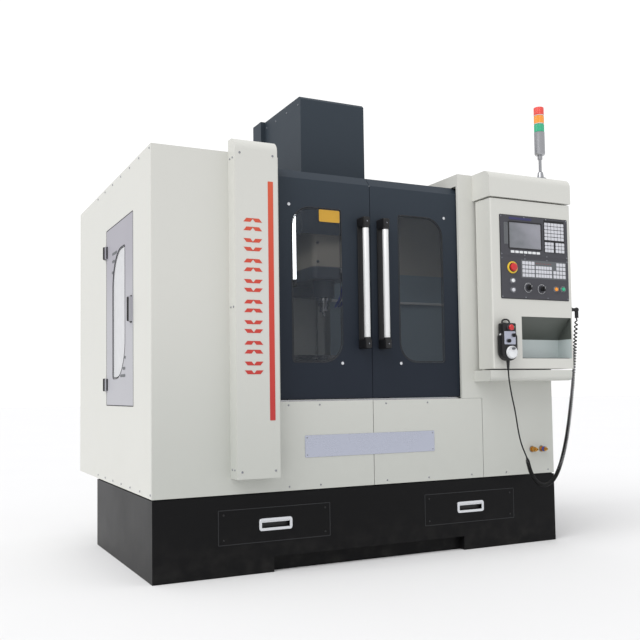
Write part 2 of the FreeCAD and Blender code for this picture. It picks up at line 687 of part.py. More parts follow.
def build_magazine_carriage():
    """Arm that carries the drum on a shaft, with its gear motor, and slides on the rail."""
    centre = (-d.drum_rest, spindle_y)
    top = d.nose_high - d.drum_below_nose
    rail_y = (front + d.rail_back, front + d.rail_back + d.rail_deep)
    arm = box("arm_plate", (-d.drum_rest - 120, -d.drum_rest + 50), (spindle_y - 45, rail_y[0] - 8),
              (d.arm_low, d.arm_low + d.arm_thick))
    block = box("rail_block", (-d.drum_rest - 120, -d.drum_rest),
                (rail_y[0] - 14, rail_y[1] + 14), (d.arm_low, d.rail_low + d.rail_tall + 16))
    rail_hole = box("rail_hole", (-d.drum_rest - 121, -d.drum_rest + 1),
                    (rail_y[0] - 0.3, rail_y[1] + 0.3), (d.rail_low - 0.3, d.rail_low + d.rail_tall + 0.3))
    shaft = rod("drum_shaft", "z", d.shaft_radius, (top - d.drum_thick - 12, d.arm_low + 1), centre)
    nut = rod("drum_nut", "z", d.shaft_radius + 9,
              (top - d.drum_thick - 12, top - d.drum_thick - 0.3), centre)
    motor = rod("gear_motor", "z", d.gearmotor_radius,
                (d.arm_low + d.arm_thick - 1, d.arm_low + d.arm_thick + d.gearmotor_high), centre)
    block_open = cut("rail_block_open", block, rail_hole)
    return keep("magazine_carriage", fuse("magazine_carriage", arm, block_open, shaft, nut, motor))


def build_magazine_rail():
    """Square rail held on the left flank of the column by a bracket plate."""
    rail_y = (front + d.rail_back, front + d.rail_back + d.rail_deep)
    rail = box("rail_bar", (-d.drum_rest - 170, -d.column_half - 12), rail_y,
               (d.rail_low, d.rail_low + d.rail_tall))
    bracket = box("rail_bracket", (-d.column_half - 14, -d.column_half),
                  (rail_y[0], front + d.column_front + 90), (d.rail_low - 20, d.rail_low + 60))
    return keep("magazine_rail", fuse("magazine_rail", rail, bracket))


def build_axis_motors():
    """Servo motors of the front-to-back axis, under the bed plate, and of the column."""
    half = d.servo_half
    z_low = d.column_top
    z_motor = box("z_motor", (-half, half), (front + d.hood_step + 5, front + d.hood_back - 10),
                  (z_low, z_low + d.servo_high))
    y_motor = box("y_motor", (-half, half), (front + d.bed_front - d.servo_high, front + d.bed_front),
                  (d.bed_plate_low - 2 * half - 10, d.bed_plate_low))
    return keep("axis_motors", group("axis_motors", z_motor, y_motor))


# ---------------------------------------------------------------- enclosure

def build_front_panels():
    """Left, centre and right front sheets with folded flanges round the door opening."""
    t = d.skin
    face = (front, front + t)
    sill_y = (front, front + 26)
    seam = d.seam / 2
    left_face = slab("left_front_face", "xz",
                     [(left, body_low), (-d.seam_left - seam, body_low),
                      (-d.seam_left - seam, d.opening_low), (open_left, d.opening_low),
                      (open_left, d.body_top), (left, d.body_top)], face)
    left_jamb = box("left_jamb", (open_left - t, open_left), (front, front + d.jamb_deep),
                    (d.opening_low, d.body_top - t))
    left_foot = box("left_foot", (left + t, -d.seam_left - seam), (front, front + d.flange_wide),
                    (body_low, body_low + t))
    left_sill = box("left_sill", (open_left - t, -d.seam_left - seam), sill_y,
                    (d.opening_low - t, d.opening_low))
    keep("left_front_panel", fuse("left_front_panel", left_face, left_jamb, left_foot, left_sill))
    centre_x = (-d.seam_left + seam, d.seam_right - seam)
    centre_sill_x = (centre_x[0], d.opening_right)
    centre = box("centre_face", centre_x, face, (body_low, d.opening_low - 1))
    centre_foot = box("centre_foot", centre_x, (front, front + d.flange_wide),
                      (body_low, body_low + t))
    centre_sill = box("centre_sill", centre_sill_x, sill_y,
                      (d.opening_low - 1 - t, d.opening_low - 1))
    keep("centre_front_panel", fuse("centre_front_panel", centre, centre_foot, centre_sill))
    right_face = slab("right_front_face", "xz",
                      [(d.seam_right + seam, body_low), (right, body_low), (right, right_top),
                       (d.opening_right, right_top), (d.opening_right, d.opening_low),
                       (d.seam_right + seam, d.opening_low)], face)
    right_jamb = box("right_jamb", (d.opening_right, d.opening_right + t),
                     (front, front + d.jamb_deep), (d.opening_low, right_top - t))
    right_foot = box("right_foot", (d.seam_right + seam, right - t), (front, front + d.flange_wide),
                     (body_low, body_low + t))
    keep("right_front_panel", fuse("right_front_panel", right_face, right_jamb, right_foot))


def build_side_panels():
    """Side sheets folded over into the roof, with a lip along the open top."""
    t = d.skin
    y_span = (front + t, back - t)
    lip_y = (front + d.jamb_deep, back - t)
    foot_y = (front + d.flange_wide, back - t)
    side_y = (front + d.side_door_front, front + d.side_door_front + d.side_door_wide)
    left_wall = box("left_wall", (left, left + t), y_span, (body_low, d.body_top))
    left_roof = box("left_roof", (left, open_left), y_span, (d.body_top - t, d.body_top))
    left_lip = box("left_lip", (open_left - t, open_left), lip_y,
                   (d.body_top - d.roof_lip, d.body_top))
    left_foot = box("left_side_foot", (left, left + d.flange_wide), foot_y, (body_low, body_low + t))
    door_hole = box("side_door_hole", (left - 1, left + t + 1), side_y,
                    (d.side_door_low, d.side_door_low + d.side_door_high))
    left_whole = fuse("left_side_whole", left_wall, left_roof, left_lip, left_foot)
    keep("left_side_panel", cut("left_side_panel", left_whole, door_hole))
    right_wall = box("right_wall", (right - t, right), y_span, (body_low, right_top))
    right_roof = box("right_roof", (d.opening_right, right), y_span, (right_top - t, right_top))
    right_lip = box("right_lip", (d.opening_right, d.opening_right + t), lip_y,
                    (d.body_top - d.roof_lip, right_top))
    right_foot = box("right_side_foot", (right - d.flange_wide, right), foot_y,
                     (body_low, body_low + t))
    keep("right_side_panel", fuse("right_side_panel", right_wall, right_roof, right_lip, right_foot))


def build_rear_panel():
    """Rear sheet with a foot flange."""
    t = d.skin
    sheet_face = box("rear_face", (left, right), (back - t, back), (body_low, d.body_top))
    foot = box("rear_foot", (left + d.flange_wide, right - d.flange_wide), (back - d.flange_wide, back),
               (body_low, body_low + t))
    tank_notch = box("rear_port", (420, 500), (back - t - 1, back + 1), (900, 960))
    return keep("rear_panel", cut("rear_panel", fuse("rear_whole", sheet_face, foot), tank_notch))


def build_lining():
    """Sloped floor sheets over the two drawers, and the rear splash sheets beside the column."""
    t = d.skin
    y_span = (front + 100, back - t)
    outer = right - t
    rear = back - d.flange_wide - d.seat_gap
    ledge_out = right - d.flange_wide - d.seat_gap
    splash = (front + d.splash_back, front + d.splash_back + t)
    halves = []
    for side in (-1, 1):
        name = "left" if side < 0 else "right"
        slope = [(side * outer, 640), (side * outer, 640 + t), (side * 790, 420 + t), (side * 790, 420)]
        splash_out = right - d.side_pan_deep - 12 if side < 0 else outer
        halves.append(fuse(
            f"{name}_lining",
            slab(f"{name}_slope", "xz", slope if side > 0 else slope[::-1], y_span),
            box(f"{name}_apron", mirrored(side, d.foot_half + 2, 792),
                (front + d.drawer_deep, back - t), (420, 420 + t)),
            box(f"{name}_leg", mirrored(side, 780, 792), (front + 100, rear), (body_low, 421)),
            box(f"{name}_ledge", mirrored(side, 780, ledge_out), (back - 60, rear),
                (body_low, body_low + t)),
            box(f"{name}_splash_foot", mirrored(side, d.foot_half + 2, 792), splash, (421, 661)),
            box(f"{name}_splash", mirrored(side, d.column_half + 20, splash_out), splash,
                (660, 1780))))
    return keep("chamber_lining", group("chamber_lining", *halves))


def build_accent_cover():
    """Tall proud cover on the front, with a rounded head that stands above the roof."""
    t = d.skin
    x_span = (-d.accent_left, -d.accent_left + d.accent_wide)
    y_front = front - d.accent_proud
    outer = slab("accent_outer", "yz",
                 [(y_front, d.accent_low), (front, d.accent_low), (front, d.accent_top),
                  (y_front, d.accent_top, d.accent_round)], x_span)
    inner = slab("accent_inner", "yz",
                 [(y_front + t, d.accent_low + t), (front - t, d.accent_low + t),
                  (front - t, d.accent_top - t), (y_front + t, d.accent_top - t, d.accent_round - t)],
                 (x_span[0] + t, x_span[1] - t))
    open_back = box("accent_back", (x_span[0] + t, x_span[1] - t), (front - t - 1, front + 1),
                    (d.accent_low + t, d.body_top - 20))
    return keep("accent_cover", cut("accent_cover", outer, inner, open_back))


def build_door_rails():
    """Grooved sill rail and plain head rail that run the whole width behind the front."""
    x_span = (left + d.skin, right - d.skin)
    sill_y = (front + 26, front + 26 + d.rail_wide)
    sill = box("sill_rail", x_span, sill_y, (d.door_low - 3 - d.rail_high, d.door_low - 3))
    groove_y = front + d.door_back + 19
    half = d.glide_wide / 2 + d.glide_gap
    groove = box("sill_groove", (left, right), (groove_y - half, groove_y + half),
                 (d.door_low - 14, d.door_low))
    head = box("head_rail", x_span, (door_rear + 8.5, door_rear + 34), (d.door_top - 24, d.door_top - 2))
    return keep("door_rails", group("door_rails", cut("sill_rail_grooved", sill, groove), head))


def build_door(side):
    """A folded door pan: flat face, sloped top, end returns, glides and the leaf window hole."""
    name = "left" if side < 0 else "right"
    t = d.skin
    opening = d.opening_left if side < 0 else d.opening_right
    x_span = mirrored(side, d.door_meeting_gap / 2, opening + d.door_overlap)
    y0 = front + d.door_back
    y_fold = y0 + d.door_fold_deep
    rise = 1.2
    section = [(y0, d.door_low), (y0 + d.door_pan_deep, d.door_low),
               (y0 + d.door_pan_deep, d.door_low + t), (y0 + t, d.door_low + t),
               (y0 + t, d.door_flat_top - rise), (y_fold + rise, d.door_top - t),
               (y_fold + 6, d.door_top - t), (y_fold + 6, d.door_top), (y_fold, d.door_top),
               (y0, d.door_flat_top)]
    pan = slab(f"{name}_pan", "yz", section, x_span)
    returns = [box(f"{name}_return_{end}", span, (y0, y0 + d.door_pan_deep),
                   (d.door_low, d.door_flat_top - 2))
               for end, span in enumerate(((x_span[0], x_span[0] + t), (x_span[1] - t, x_span[1])))]
    glide_y = (y0 + 19 - d.glide_wide / 2, y0 + 19 + d.glide_wide / 2)
    glides = [box(f"{name}_glide_{end}", (at - 30, at + 30), glide_y,
                  (d.door_low - 14 + d.seat_gap, d.door_low + 1))
              for end, at in enumerate((x_span[0] + 70, x_span[1] - 70))]
    window_x = mirrored(side, d.window_inner, d.window_inner + d.window_wide)
    hole = slab(f"{name}_window_hole", "xz",
                leaf(window_x[0], window_x[1], d.window_low, d.window_low + d.window_high,
                     d.window_big_round, d.window_small_round, side < 0), (y0 - 1, y0 + t + 1))
    whole = fuse(f"{name}_door_whole", pan, *returns, *glides)
    keep(f"{name}_door", cut(f"{name}_door", whole, hole))
    lap = d.window_lap
    pane = slab(f"{name}_pane", "xz",
                leaf(window_x[0] - lap, window_x[1] + lap, d.window_low - lap,
                     d.window_low + d.window_high + lap, d.window_big_round,
                     d.window_small_round, side < 0), (y0 + t, y0 + t + d.glazing))
    keep(f"{name}_window", pane)


def build_handle(side):
    """A full-height pull: back plate with two end brackets, and a round grip between them."""
    name = "left" if side < 0 else "right"
    half = d.handle_wide / 2
    at = side * d.handle_at
    x_span = (at - half, at + half)
    y_face = front + d.door_back
    y_out = y_face - d.handle_proud
    top = d.handle_low + d.handle_high
    plate = box(f"{name}_back_plate", x_span, (y_face - d.handle_plate, y_face), (d.handle_low, top))
    ends = []
    for index, z_span in enumerate(((d.handle_low, d.handle_low + d.bracket_high),
                                    (top - d.bracket_high, top))):
        block = box(f"{name}_bracket_{index}", x_span, (y_out, y_face), z_span)
        ends.append(rounded(f"{name}_bracket_soft_{index}", block, 6,
                            any_edge(edge_along("z", y=y_out), edge_along("x", y=y_out))))
    frame = fuse(f"{name}_handle_frame", plate, *ends)
    grip = rod(f"{name}_grip", "z", d.grip_radius,
               (d.handle_low + d.bracket_high, top - d.bracket_high),
               (at, y_out + d.grip_radius + 3))
    return keep(f"{name}_handle", group(f"{name}_handle", frame, grip))


def build_side_door():
    """Hinged access door with returns and a leaf window."""
    t = d.skin
    gap = d.side_door_gap
    y_span = (front + d.side_door_front + gap, front + d.side_door_front + d.side_door_wide - gap)
    z_span = (d.side_door_low + gap, d.side_door_low + d.side_door_high - gap)
    pan = box("side_pan", (left, left + d.side_pan_deep), y_span, z_span)
    hollow = box("side_pan_hollow", (left + t, left + d.side_pan_deep + 1),
                 (y_span[0] + t, y_span[1] - t), (z_span[0] + t, z_span[1] - t))
    window_y = (front + d.side_window_front, front + d.side_window_front + d.side_window_wide)
    window_z = (d.side_window_low, d.side_window_low + d.side_window_high)
    hole = slab("side_window_hole", "yz",
                leaf(window_y[0], window_y[1], window_z[0], window_z[1], d.side_window_round,
                     d.window_small_round, False), (left - 1, left + t + 1))
    hinge_y = y_span[1] + gap
    barrels = []
    for index, z in enumerate((860, 1551)):
        barrels.append(rod(f"side_barrel_{index}", "z", 7, (z - 32, z + 32),
                           (left - d.side_hinge_out, hinge_y)))
        barrels.append(box(f"side_hinge_leaf_{index}", (left - d.side_hinge_out - 2, left + 1),
                           (y_span[1] - 26, y_span[1]), (z - 32, z + 32)))
    catch = box("side_catch", (left - 14, left + 1), (y_span[0] + 16, y_span[0] + 44), (1150, 1266))
    whole = fuse("side_door_whole", cut("side_door_pan", pan, hollow, hole), catch, *barrels)
    keep("side_door", whole)
    lap = d.window_lap
    pane = slab("side_pane", "yz",
                leaf(window_y[0] - lap, window_y[1] + lap, window_z[0] - lap, window_z[1] + lap,
                     d.side_window_round, d.window_small_round, False),
                (left + t, left + t + d.glazing))
    keep("side_window", pane)


def build_cabinet():
    """Electrical cabinet on the back, with a mounting plate inside and a hinged rear door."""
    t = d.skin
    x_span = (left, left + d.cabinet_wide)
    y_span = (back, back + d.cabinet_deep)
    z_span = (body_low, d.body_top)
    shell = box("cabinet_outer", x_span, y_span, z_span)
    hollow = box("cabinet_inner", (x_span[0] + t, x_span[1] - t), (y_span[0] + t, y_span[1] + 1),
                 (z_span[0] + t, z_span[1] - t))
    plate = box("mounting_plate", (x_span[0] + 40, x_span[1] - 40), (y_span[0] + t, y_span[0] + t + 6),
                (z_span[0] + 80, z_span[1] - 80))
    keep("electrical_cabinet", fuse("electrical_cabinet", cut("cabinet_shell", shell, hollow), plate))
    pan_y = (y_span[1] + d.seat_gap, y_span[1] + d.seat_gap + d.cabinet_door_pan)
    pan = box("cabinet_pan", x_span, pan_y, z_span)
    pan_hollow = box("cabinet_pan_hollow", (x_span[0] + t, x_span[1] - t), (pan_y[0] - 1, pan_y[1] - t),
                     (z_span[0] + t, z_span[1] - t))
    latch = box("cabinet_latch", (x_span[0] + 36, x_span[0] + 62), (pan_y[1] - 1, pan_y[1] + 16),
                (1060, 1200))
    barrels = [rod(f"cabinet_barrel_{index}", "z", 7, (z - 35, z + 35),
                   (x_span[1] + 8, pan_y[1] - 8)) for index, z in enumerate((520, 1740))]
    leaves = [box(f"cabinet_leaf_{index}", (x_span[1] - 2, x_span[1] + 8),
                  (pan_y[1] - 14, pan_y[1] - 2), (z - 35, z + 35))
              for index, z in enumerate((520, 1740))]
    keep("cabinet_door", fuse("cabinet_door", cut("cabinet_door_pan", pan, pan_hollow), latch,
                              *barrels, *leaves))


def build_column_hood():
    """Dark sheet cover over the spindle motor and the top of the column, open below."""
    t = d.skin
    y_front, y_step, y_back = front + d.hood_front, front + d.hood_step, front + d.hood_back
    fold = d.hood_fold
    outer = slab("hood_outer", "yz",
                 [(y_front, d.hood_low), (y_step + t, d.hood_low), (y_step + t, d.hood_top),
                  (y_front + fold, d.hood_top), (y_front, d.hood_top - fold)],
                 (-d.hood_half, d.hood_half))
    inner = box("hood_inner", (-d.hood_half + t, d.hood_half - t), (y_front + t, y_step + t + 1),
                (d.hood_low - 1, d.hood_top - fold))
    rear = box("hood_rear", (-d.hood_rear_half, d.hood_rear_half), (y_step, y_back),
               (d.hood_rear_low, d.hood_top))
    rear_inner = box("hood_rear_inner", (-d.hood_rear_half + t, d.hood_rear_half - t),
                     (y_step + t, y_back - t), (d.hood_rear_low - 1, d.hood_top - t))
    throat = box("hood_throat", (-d.hood_half + t, d.hood_half - t), (y_step - 1, y_step + t + 1),
                 (d.hood_low - 1, d.hood_top - fold))
    column_gap = box("hood_column_gap", (-d.column_half - 6, d.column_half + 6),
                     (y_back - t - 1, y_back + 1), (d.hood_rear_low - 1, d.column_top + 6))
    stays = [box(f"hood_stay_{side + 1}", mirrored(side, d.column_half, d.hood_rear_half - 1),
                 (y_step + 20, y_step + 50), (z, z + 40))
             for side in (-1, 1) for z in (1920, )]
    shell = cut("hood_shell", fuse("hood_whole", outer, rear), inner, rear_inner, throat, column_gap)
    return keep("column_hood", fuse("column_hood", shell, *stays))


# ---------------------------------------------------------------- control box

def build_control_supports():
    """Fixed hood above and shelf below, each with a hole for the swivel pin."""
    pivot = (d.control_left + d.pivot_in, front - d.pivot_back)
    t = d.control_wall
    x_span = (d.control_hood_left, control_right + 2)
    y_span = (front - d.control_hood_proud, front)
    outer = box("control_hood_block", x_span, y_span, (d.control_hood_low, right_top))
    folded = rounded("control_hood_fold", outer, d.control_hood_round,
                     edge_along("x", y=y_span[0], z=right_top))
    inner = box("control_hood_inner", (x_span[0] + t, x_span[1] - t), (y_span[0] + t, y_span[1] + 1),
                (d.control_hood_low + t, right_top - d.control_hood_round))
    hole = rod("control_hood_hole", "z", d.pivot_radius + d.bearing_gap,
               (d.control_hood_low - 1, d.control_hood_low + t + 1), pivot)
    keep("control_hood", cut("control_hood", folded, inner, hole))
    shelf_top = d.shelf_low + d.shelf_high
    block = box("shelf_block", (d.shelf_left, d.shelf_right), (front - d.control_proud, front),
                (d.shelf_low, shelf_top))
    nosed = rounded("shelf_nose", block, d.shelf_round,
                    edge_along("x", y=front - d.control_proud, z=d.shelf_low))
    shelf_hollow = box("shelf_hollow", (d.shelf_left + t, d.shelf_right - t),
                       (front - d.control_proud + d.shelf_round, front + 1),
                       (d.shelf_low + t, shelf_top - t))
    shelf_hole = rod("shelf_hole", "z", d.pivot_radius + d.bearing_gap,
                     (shelf_top - t - 1, shelf_top + 1), pivot)
    keep("control_shelf", cut("control_shelf", nosed, shelf_hollow, shelf_hole))


def build_control_box():
    """Sheet box that swivels on two pins, with panel openings and the cubby in its face."""
    t = d.control_wall
    x_span = (d.control_left, control_right)
    y_span = (box_front, front - d.control_behind)
    z_span = (d.control_low, control_top)
    block = box("control_block", x_span, y_span, z_span)
    corners = any_edge(edge_along("z", x=x_span[0], y=y_span[0]), edge_along("z", x=x_span[1], y=y_span[0]))
    soft = rounded("control_soft", block, d.control_round, corners)
    inner = box("control_inner", (x_span[0] + t, x_span[1] - t), (y_span[0] + t, y_span[1] - t),
                (z_span[0] + t, z_span[1] - t))
    cubby_x = (d.cubby_left, d.cubby_right)
    cubby_top = d.cubby_low + d.cubby_high
    cubby_back = y_span[0] + d.cubby_deep

    def cubby_outline(grow):
        return [(y_span[0] - 1, d.cubby_low - grow), (cubby_back + grow, d.cubby_low - grow),
                (cubby_back + grow, d.cubby_slope_low + grow), (y_span[0] + 12, cubby_top + grow),
                (y_span[0] - 1, cubby_top + grow)]

    cubby_wall = slab("cubby_wall", "yz", cubby_outline(t)[:], (cubby_x[0] - t, cubby_x[1] + t))
    cubby_trim = box("cubby_trim", (x_span[0] - 1, x_span[1] + 1), (y_span[0] - 5, y_span[0]),
                     (d.cubby_low - 20, cubby_top + 20))
    cubby = slab("cubby_space", "yz", cubby_outline(0), cubby_x)
    lap = d.panel_lap
    panel_x = (d.panel_left + lap, d.panel_left + d.panel_wide - lap)
    windows = [box(f"panel_window_{index}", panel_x, (y_span[0] - 1, y_span[0] + t + 1),
                   (low + lap, low + high - lap))
               for index, (low, high) in enumerate(((d.display_low, d.display_high),
                                                    (d.operator_low, d.operator_high)))]
    pivot = (d.control_left + d.pivot_in, front - d.pivot_back)
    pins = [rod("upper_pin", "z", d.pivot_radius, (z_span[1] - 1, d.control_hood_low + 6), pivot),
            rod("lower_pin", "z", d.pivot_radius, (d.shelf_low + d.shelf_high - 6, z_span[0] + 1), pivot),
            rod("lower_collar", "z", d.pivot_collar,
                (d.shelf_low + d.shelf_high + 0.3, z_span[0] + 1), pivot)]
    tab_x = (d.pendant_at - 14, d.pendant_at + 14)
    pendant_top = d.pendant_low + d.pendant_high
    peg = [box("pendant_peg", tab_x, (y_span[0] - 8, y_span[0] + 1),
               (pendant_top + 6, pendant_top + 12)),
           box("pendant_peg_lip", tab_x, (y_span[0] - 11, y_span[0] - 8),
               (pendant_top + 6, pendant_top + 20))]
    shell = cut("control_shell", soft, inner)
    lined = fuse("control_lined", shell, cut("cubby_lining", cubby_wall, cubby_trim))
    opened = cut("control_opened", lined, cubby, *windows)
    return keep("control_box", fuse("control_box", opened, *pins, *peg))


def build_control_panels():
    """Display unit with its screen recess, and operator panel with collars for its controls."""
    x_span = (d.panel_left, d.panel_left + d.panel_wide)
    y_face = (box_front - d.panel_thick, box_front)
    lap = d.panel_lap + 2
    display_z = (d.display_low, d.display_low + d.display_high)
    bezel = box("display_bezel", x_span, y_face, display_z)
    housing = box("display_housing", (x_span[0] + lap, x_span[1] - lap), (box_front - 1, box_front + 62),
                  (display_z[0] + lap, display_z[1] - lap))
    screen = box("screen_recess", (d.screen_left, d.screen_left + d.screen_wide),
                 (y_face[0] - 1, y_face[0] + 2), (d.screen_low, d.screen_low + d.screen_high))
    keep("display_unit", cut("display_unit", fuse("display_whole", bezel, housing), screen))
    operator_z = (d.operator_low, d.operator_low + d.operator_high)
    plate = box("operator_plate", x_span, y_face, operator_z)
    collars, holes = [], []
    for name, kind, x, z in CONTROLS:
        radius = CONTROL_RADIUS[kind]
        collars.append(rod(f"{name}_collar", "y", radius + d.collar_wall,
                           (y_face[0] - d.collar_high, y_face[0] + 1), (x, z)))
        clear = radius + 0.5 if kind != "knob" else Size.of(d.stem_radius + d.stem_gap)
        holes.append(rod(f"{name}_well", "y", clear, (y_face[0] - d.collar_high - 1, y_face[0]), (x, z)))
        holes.append(rod(f"{name}_hole", "y", d.stem_radius + d.stem_gap,
                         (y_face[0] - 1, y_face[1] + 1), (x, z)))
    keep("operator_panel", cut("operator_panel", fuse("operator_whole", plate, *collars), *holes))


CONTROL_RADIUS = {"stop": d.stop_radius, "button": d.button_radius, "knob": d.knob_radius}
CONTROLS = [
    ("emergency_stop", "stop", 738, 1430), ("white_button", "button", 736, 1362),
    ("grey_button", "button", 737, 1314), ("feed_selector", "knob", 839, 1330),
    ("mode_selector", "knob", 927, 1326), ("orange_button", "button", 1020, 1328),
    ("green_button", "button", 1068, 1330),
]


def build_controls():
    """Push buttons, mushroom stop and rotary selectors, each on its own stem."""
    y_panel = box_front - d.panel_thick
    for name, kind, x, z in CONTROLS:
        stem = rod(f"{name}_stem", "y", d.stem_radius, (y_panel - 8, y_panel + 24), (x, z))
        if kind == "stop":
            neck = rod(f"{name}_neck", "y", 12, (y_panel - 22, y_panel - d.button_travel - 1), (x, z))
            cap = taper(f"{name}_cap", "y", (15, d.stop_radius), (y_panel - 34, y_panel - 26), (x, z))
            rim = rod(f"{name}_rim", "y", d.stop_radius, (y_panel - 26, y_panel - 14), (x, z))
            pieces = [stem, neck, cap, rim]
        elif kind == "button":
            pieces = [stem, rod(f"{name}_cap", "y", d.button_radius,
                                (y_panel - 10, y_panel - d.button_travel - 1), (x, z))]
        else:
            skirt = rod(f"{name}_skirt", "y", d.knob_radius,
                        (y_panel - 16, y_panel - d.collar_high - 0.3), (x, z))
            grip = box(f"{name}_grip", (x - 4, x + 4), (y_panel - 28, y_panel - 15),
                       (z - d.knob_radius + 1, z + d.knob_radius - 1))
            pieces = [stem, skirt, grip]
        keep(name, fuse(name, *pieces))


# ---------------------------------------------------------------- hand pendant and cord

def build_pendant():
    """Hand pendant hung by its hook on the peg of the control box, with its controls."""
    half = d.pendant_wide / 2
    x_span = (d.pendant_at - half, d.pendant_at + half)
    y_span = (box_front - d.pendant_deep - 11.3, box_front - 11.3)
    z_span = (d.pendant_low, d.pendant_low + d.pendant_high)
    block = box("pendant_block", x_span, y_span, z_span)
    corners = any_edge(*[edge_along("z", x=x, y=y) for x in x_span for y in y_span],
                       *[edge_along("y", x=x, z=z) for x in x_span for z in z_span])
    soft = rounded("pendant_soft", block, d.pendant_round, corners)
    hook = box("hook_plate", (d.pendant_at - 27, d.pendant_at + 27), (y_span[1] - 6, y_span[1]),
               (z_span[1] - 20, z_span[1] + 24))
    hook_eye = box("hook_eye", (d.pendant_at - 17, d.pendant_at + 17), (y_span[1] - 7, y_span[1] + 1),
                   (z_span[1] + 4, z_span[1] + 16))
    stand = box("pendant_stand", (d.pendant_at - 20, d.pendant_at + 20),
                (y_span[1] - 1, box_front), (z_span[0] + 20, z_span[0] + 60))
    face = y_span[0]
    bosses, holes = [], []
    for name, radius, x, z in PENDANT_CONTROLS:
        bosses.append(rod(f"{name}_boss", "y", radius + 2, (face - 3, face + 1), (x, z)))
        holes.append(rod(f"{name}_hole", "y", 4 + d.stem_gap, (face - 4, face + 20), (x, z)))
    case = cut("pendant_case", fuse("pendant_whole", soft, hook, stand, *bosses), hook_eye, *holes)
    keep("pendant_case", case)
    for name, radius, x, z in PENDANT_CONTROLS:
        stem = rod(f"{name}_stem", "y", 4, (face - 9, face + 14), (x, z))
        if name == "pendant_wheel":
            disc = rod("wheel_disc", "y", radius, (face - 3.3 - d.wheel_thick, face - 3.3), (x, z))
            crank = rod("wheel_crank", "y", 5,
                        (face - d.wheel_thick - 19, face - d.wheel_thick - 2), (x, z + 20))
            pieces = [stem, disc, crank]
        elif name == "pendant_stop":
            pieces = [stem, rod("pendant_stop_cap", "y", radius, (face - 19, face - 8), (x, z))]
        else:
            pieces = [stem, rod(f"{name}_cap", "y", radius, (face - 15, face - 3.3), (x, z))]
        keep(name, fuse(name, *pieces))


PENDANT_CONTROLS = [
    ("pendant_wheel", d.wheel_radius, d.pendant_at + 3, d.wheel_high),
    ("pendant_stop", Size.of(11), d.pendant_at, Size.of(1116)),
    ("pendant_axis_knob", d.small_knob_radius, d.pendant_at + 24, Size.of(1078)),
    ("pendant_scale_knob", d.small_knob_radius, d.pendant_at - 8, Size.of(1050)),
]

# Route of the free cord: from under the pendant, down and round to the right flank of the
# control box. x and z as placed; the third number is the distance out from the front plane.
STRAIGHT_ROUTE = [
    (673, 902, 172), (675, 860, 172.5), (683, 812, 173), (693, 762, 173), (706, 712, 173),
    (716, 660, 172), (725, 608, 171), (737, 556, 170), (755, 508, 169), (778, 466, 168),
]
CURLY_ROUTE = [
    (778, 466, 168), (790, 426, 166), (808, 380, 163), (844, 334, 158), (896, 312, 151),
    (946, 320, 145), (990, 352, 138), (1026, 402, 132), (1056, 468, 128), (1082, 544, 125),
    (1104, 628, 122), (1122, 716, 120), (1138, 806, 120), (1150, 898, 120), (1160, 990, 120),
    (1169, 1076, 119), (1177, 1140, 118), (1184, 1184, 118),
]


def cord_tube(name, route, diameter):
    """Straight runs joined by the largest tangent arcs that both runs allow, swept with a circle."""
    points = [Vector(x, front.value - out, z) for x, z, out in route]
    edges, radii, length = [], [], 0.0
    start = points[0]
    for before, corner, after in zip(points, points[1:], points[2:]):
        run_in, run_out = corner - before, after - corner
        turn = run_in.getAngle(run_out)
        setback = 0.45 * min(run_in.Length, run_out.Length)
        radius = setback / math.tan(turn / 2)
        radii.append(radius)
        to_before = (before - corner).normalize()
        to_after = (after - corner).normalize()
        arc_start = corner + to_before * setback
        arc_end = corner + to_after * setback
        bisector = (to_before + to_after).normalize()
        middle = corner + bisector * (radius / math.cos(turn / 2) - radius)
        edges.append(Part.LineSegment(start, arc_start).toShape())
        edges.append(Part.Arc(arc_start, middle, arc_end).toShape())
        start = arc_end
    edges.append(Part.LineSegment(start, points[-1]).toShape())
    path = Part.Wire(edges)
    first = points[1] - points[0]
    ring = Part.Wire(Part.makeCircle(diameter / 2, points[0], first))
    tube = path.makePipeShell([ring], True, True, 2)
    length = path.Length
    ideal = math.pi * diameter ** 2 / 4 * length
    print(f"{name}: length {length:.1f}, radii {min(radii):.0f} to {max(radii):.0f},"
          f" volume / ideal {tube.Volume / ideal:.4f}")
    return made(name, tube)


def build_cord():
    """Plain lead, fat tube for the curly stretch, and the two sleeves at their ends."""
    straight, curly = STRAIGHT_ROUTE, CURLY_ROUTE
    keep("cord_straight", cord_tube("cord_straight", straight, d.cord_diameter.value))
    keep("cord_curly", cord_tube("cord_curly", curly, d.curl_diameter.value))
    x, z, out = straight[0]
    relief = taper("pendant_relief", "z", (5, 9), (z, d.pendant_low), (x, front - out))
    x, z, out = curly[-1]
    elbow_y = front - out
    nut = rod("gland_nut", "x", 12, (control_right, control_right + 14), (elbow_y, z + 44))
    arm = rod("gland_arm", "x", 9, (control_right + 13, x + 4), (elbow_y, z + 44))
    knee = doc.addObject("Part::Sphere", "gland_knee")
    bind(knee, "Radius", 13)
    for letter, value in zip("xyz", (x, elbow_y, z + 44)):
        bind(knee, f"Placement.Base.{letter}", value)
    drop = rod("gland_drop", "z", 10, (z, z + 44), (x, elbow_y))
    elbow = fuse("gland_elbow", nut, arm, knee, drop)
    keep("cord_glands", group("cord_glands", relief, elbow))


# ---------------------------------------------------------------- stack light and couplings

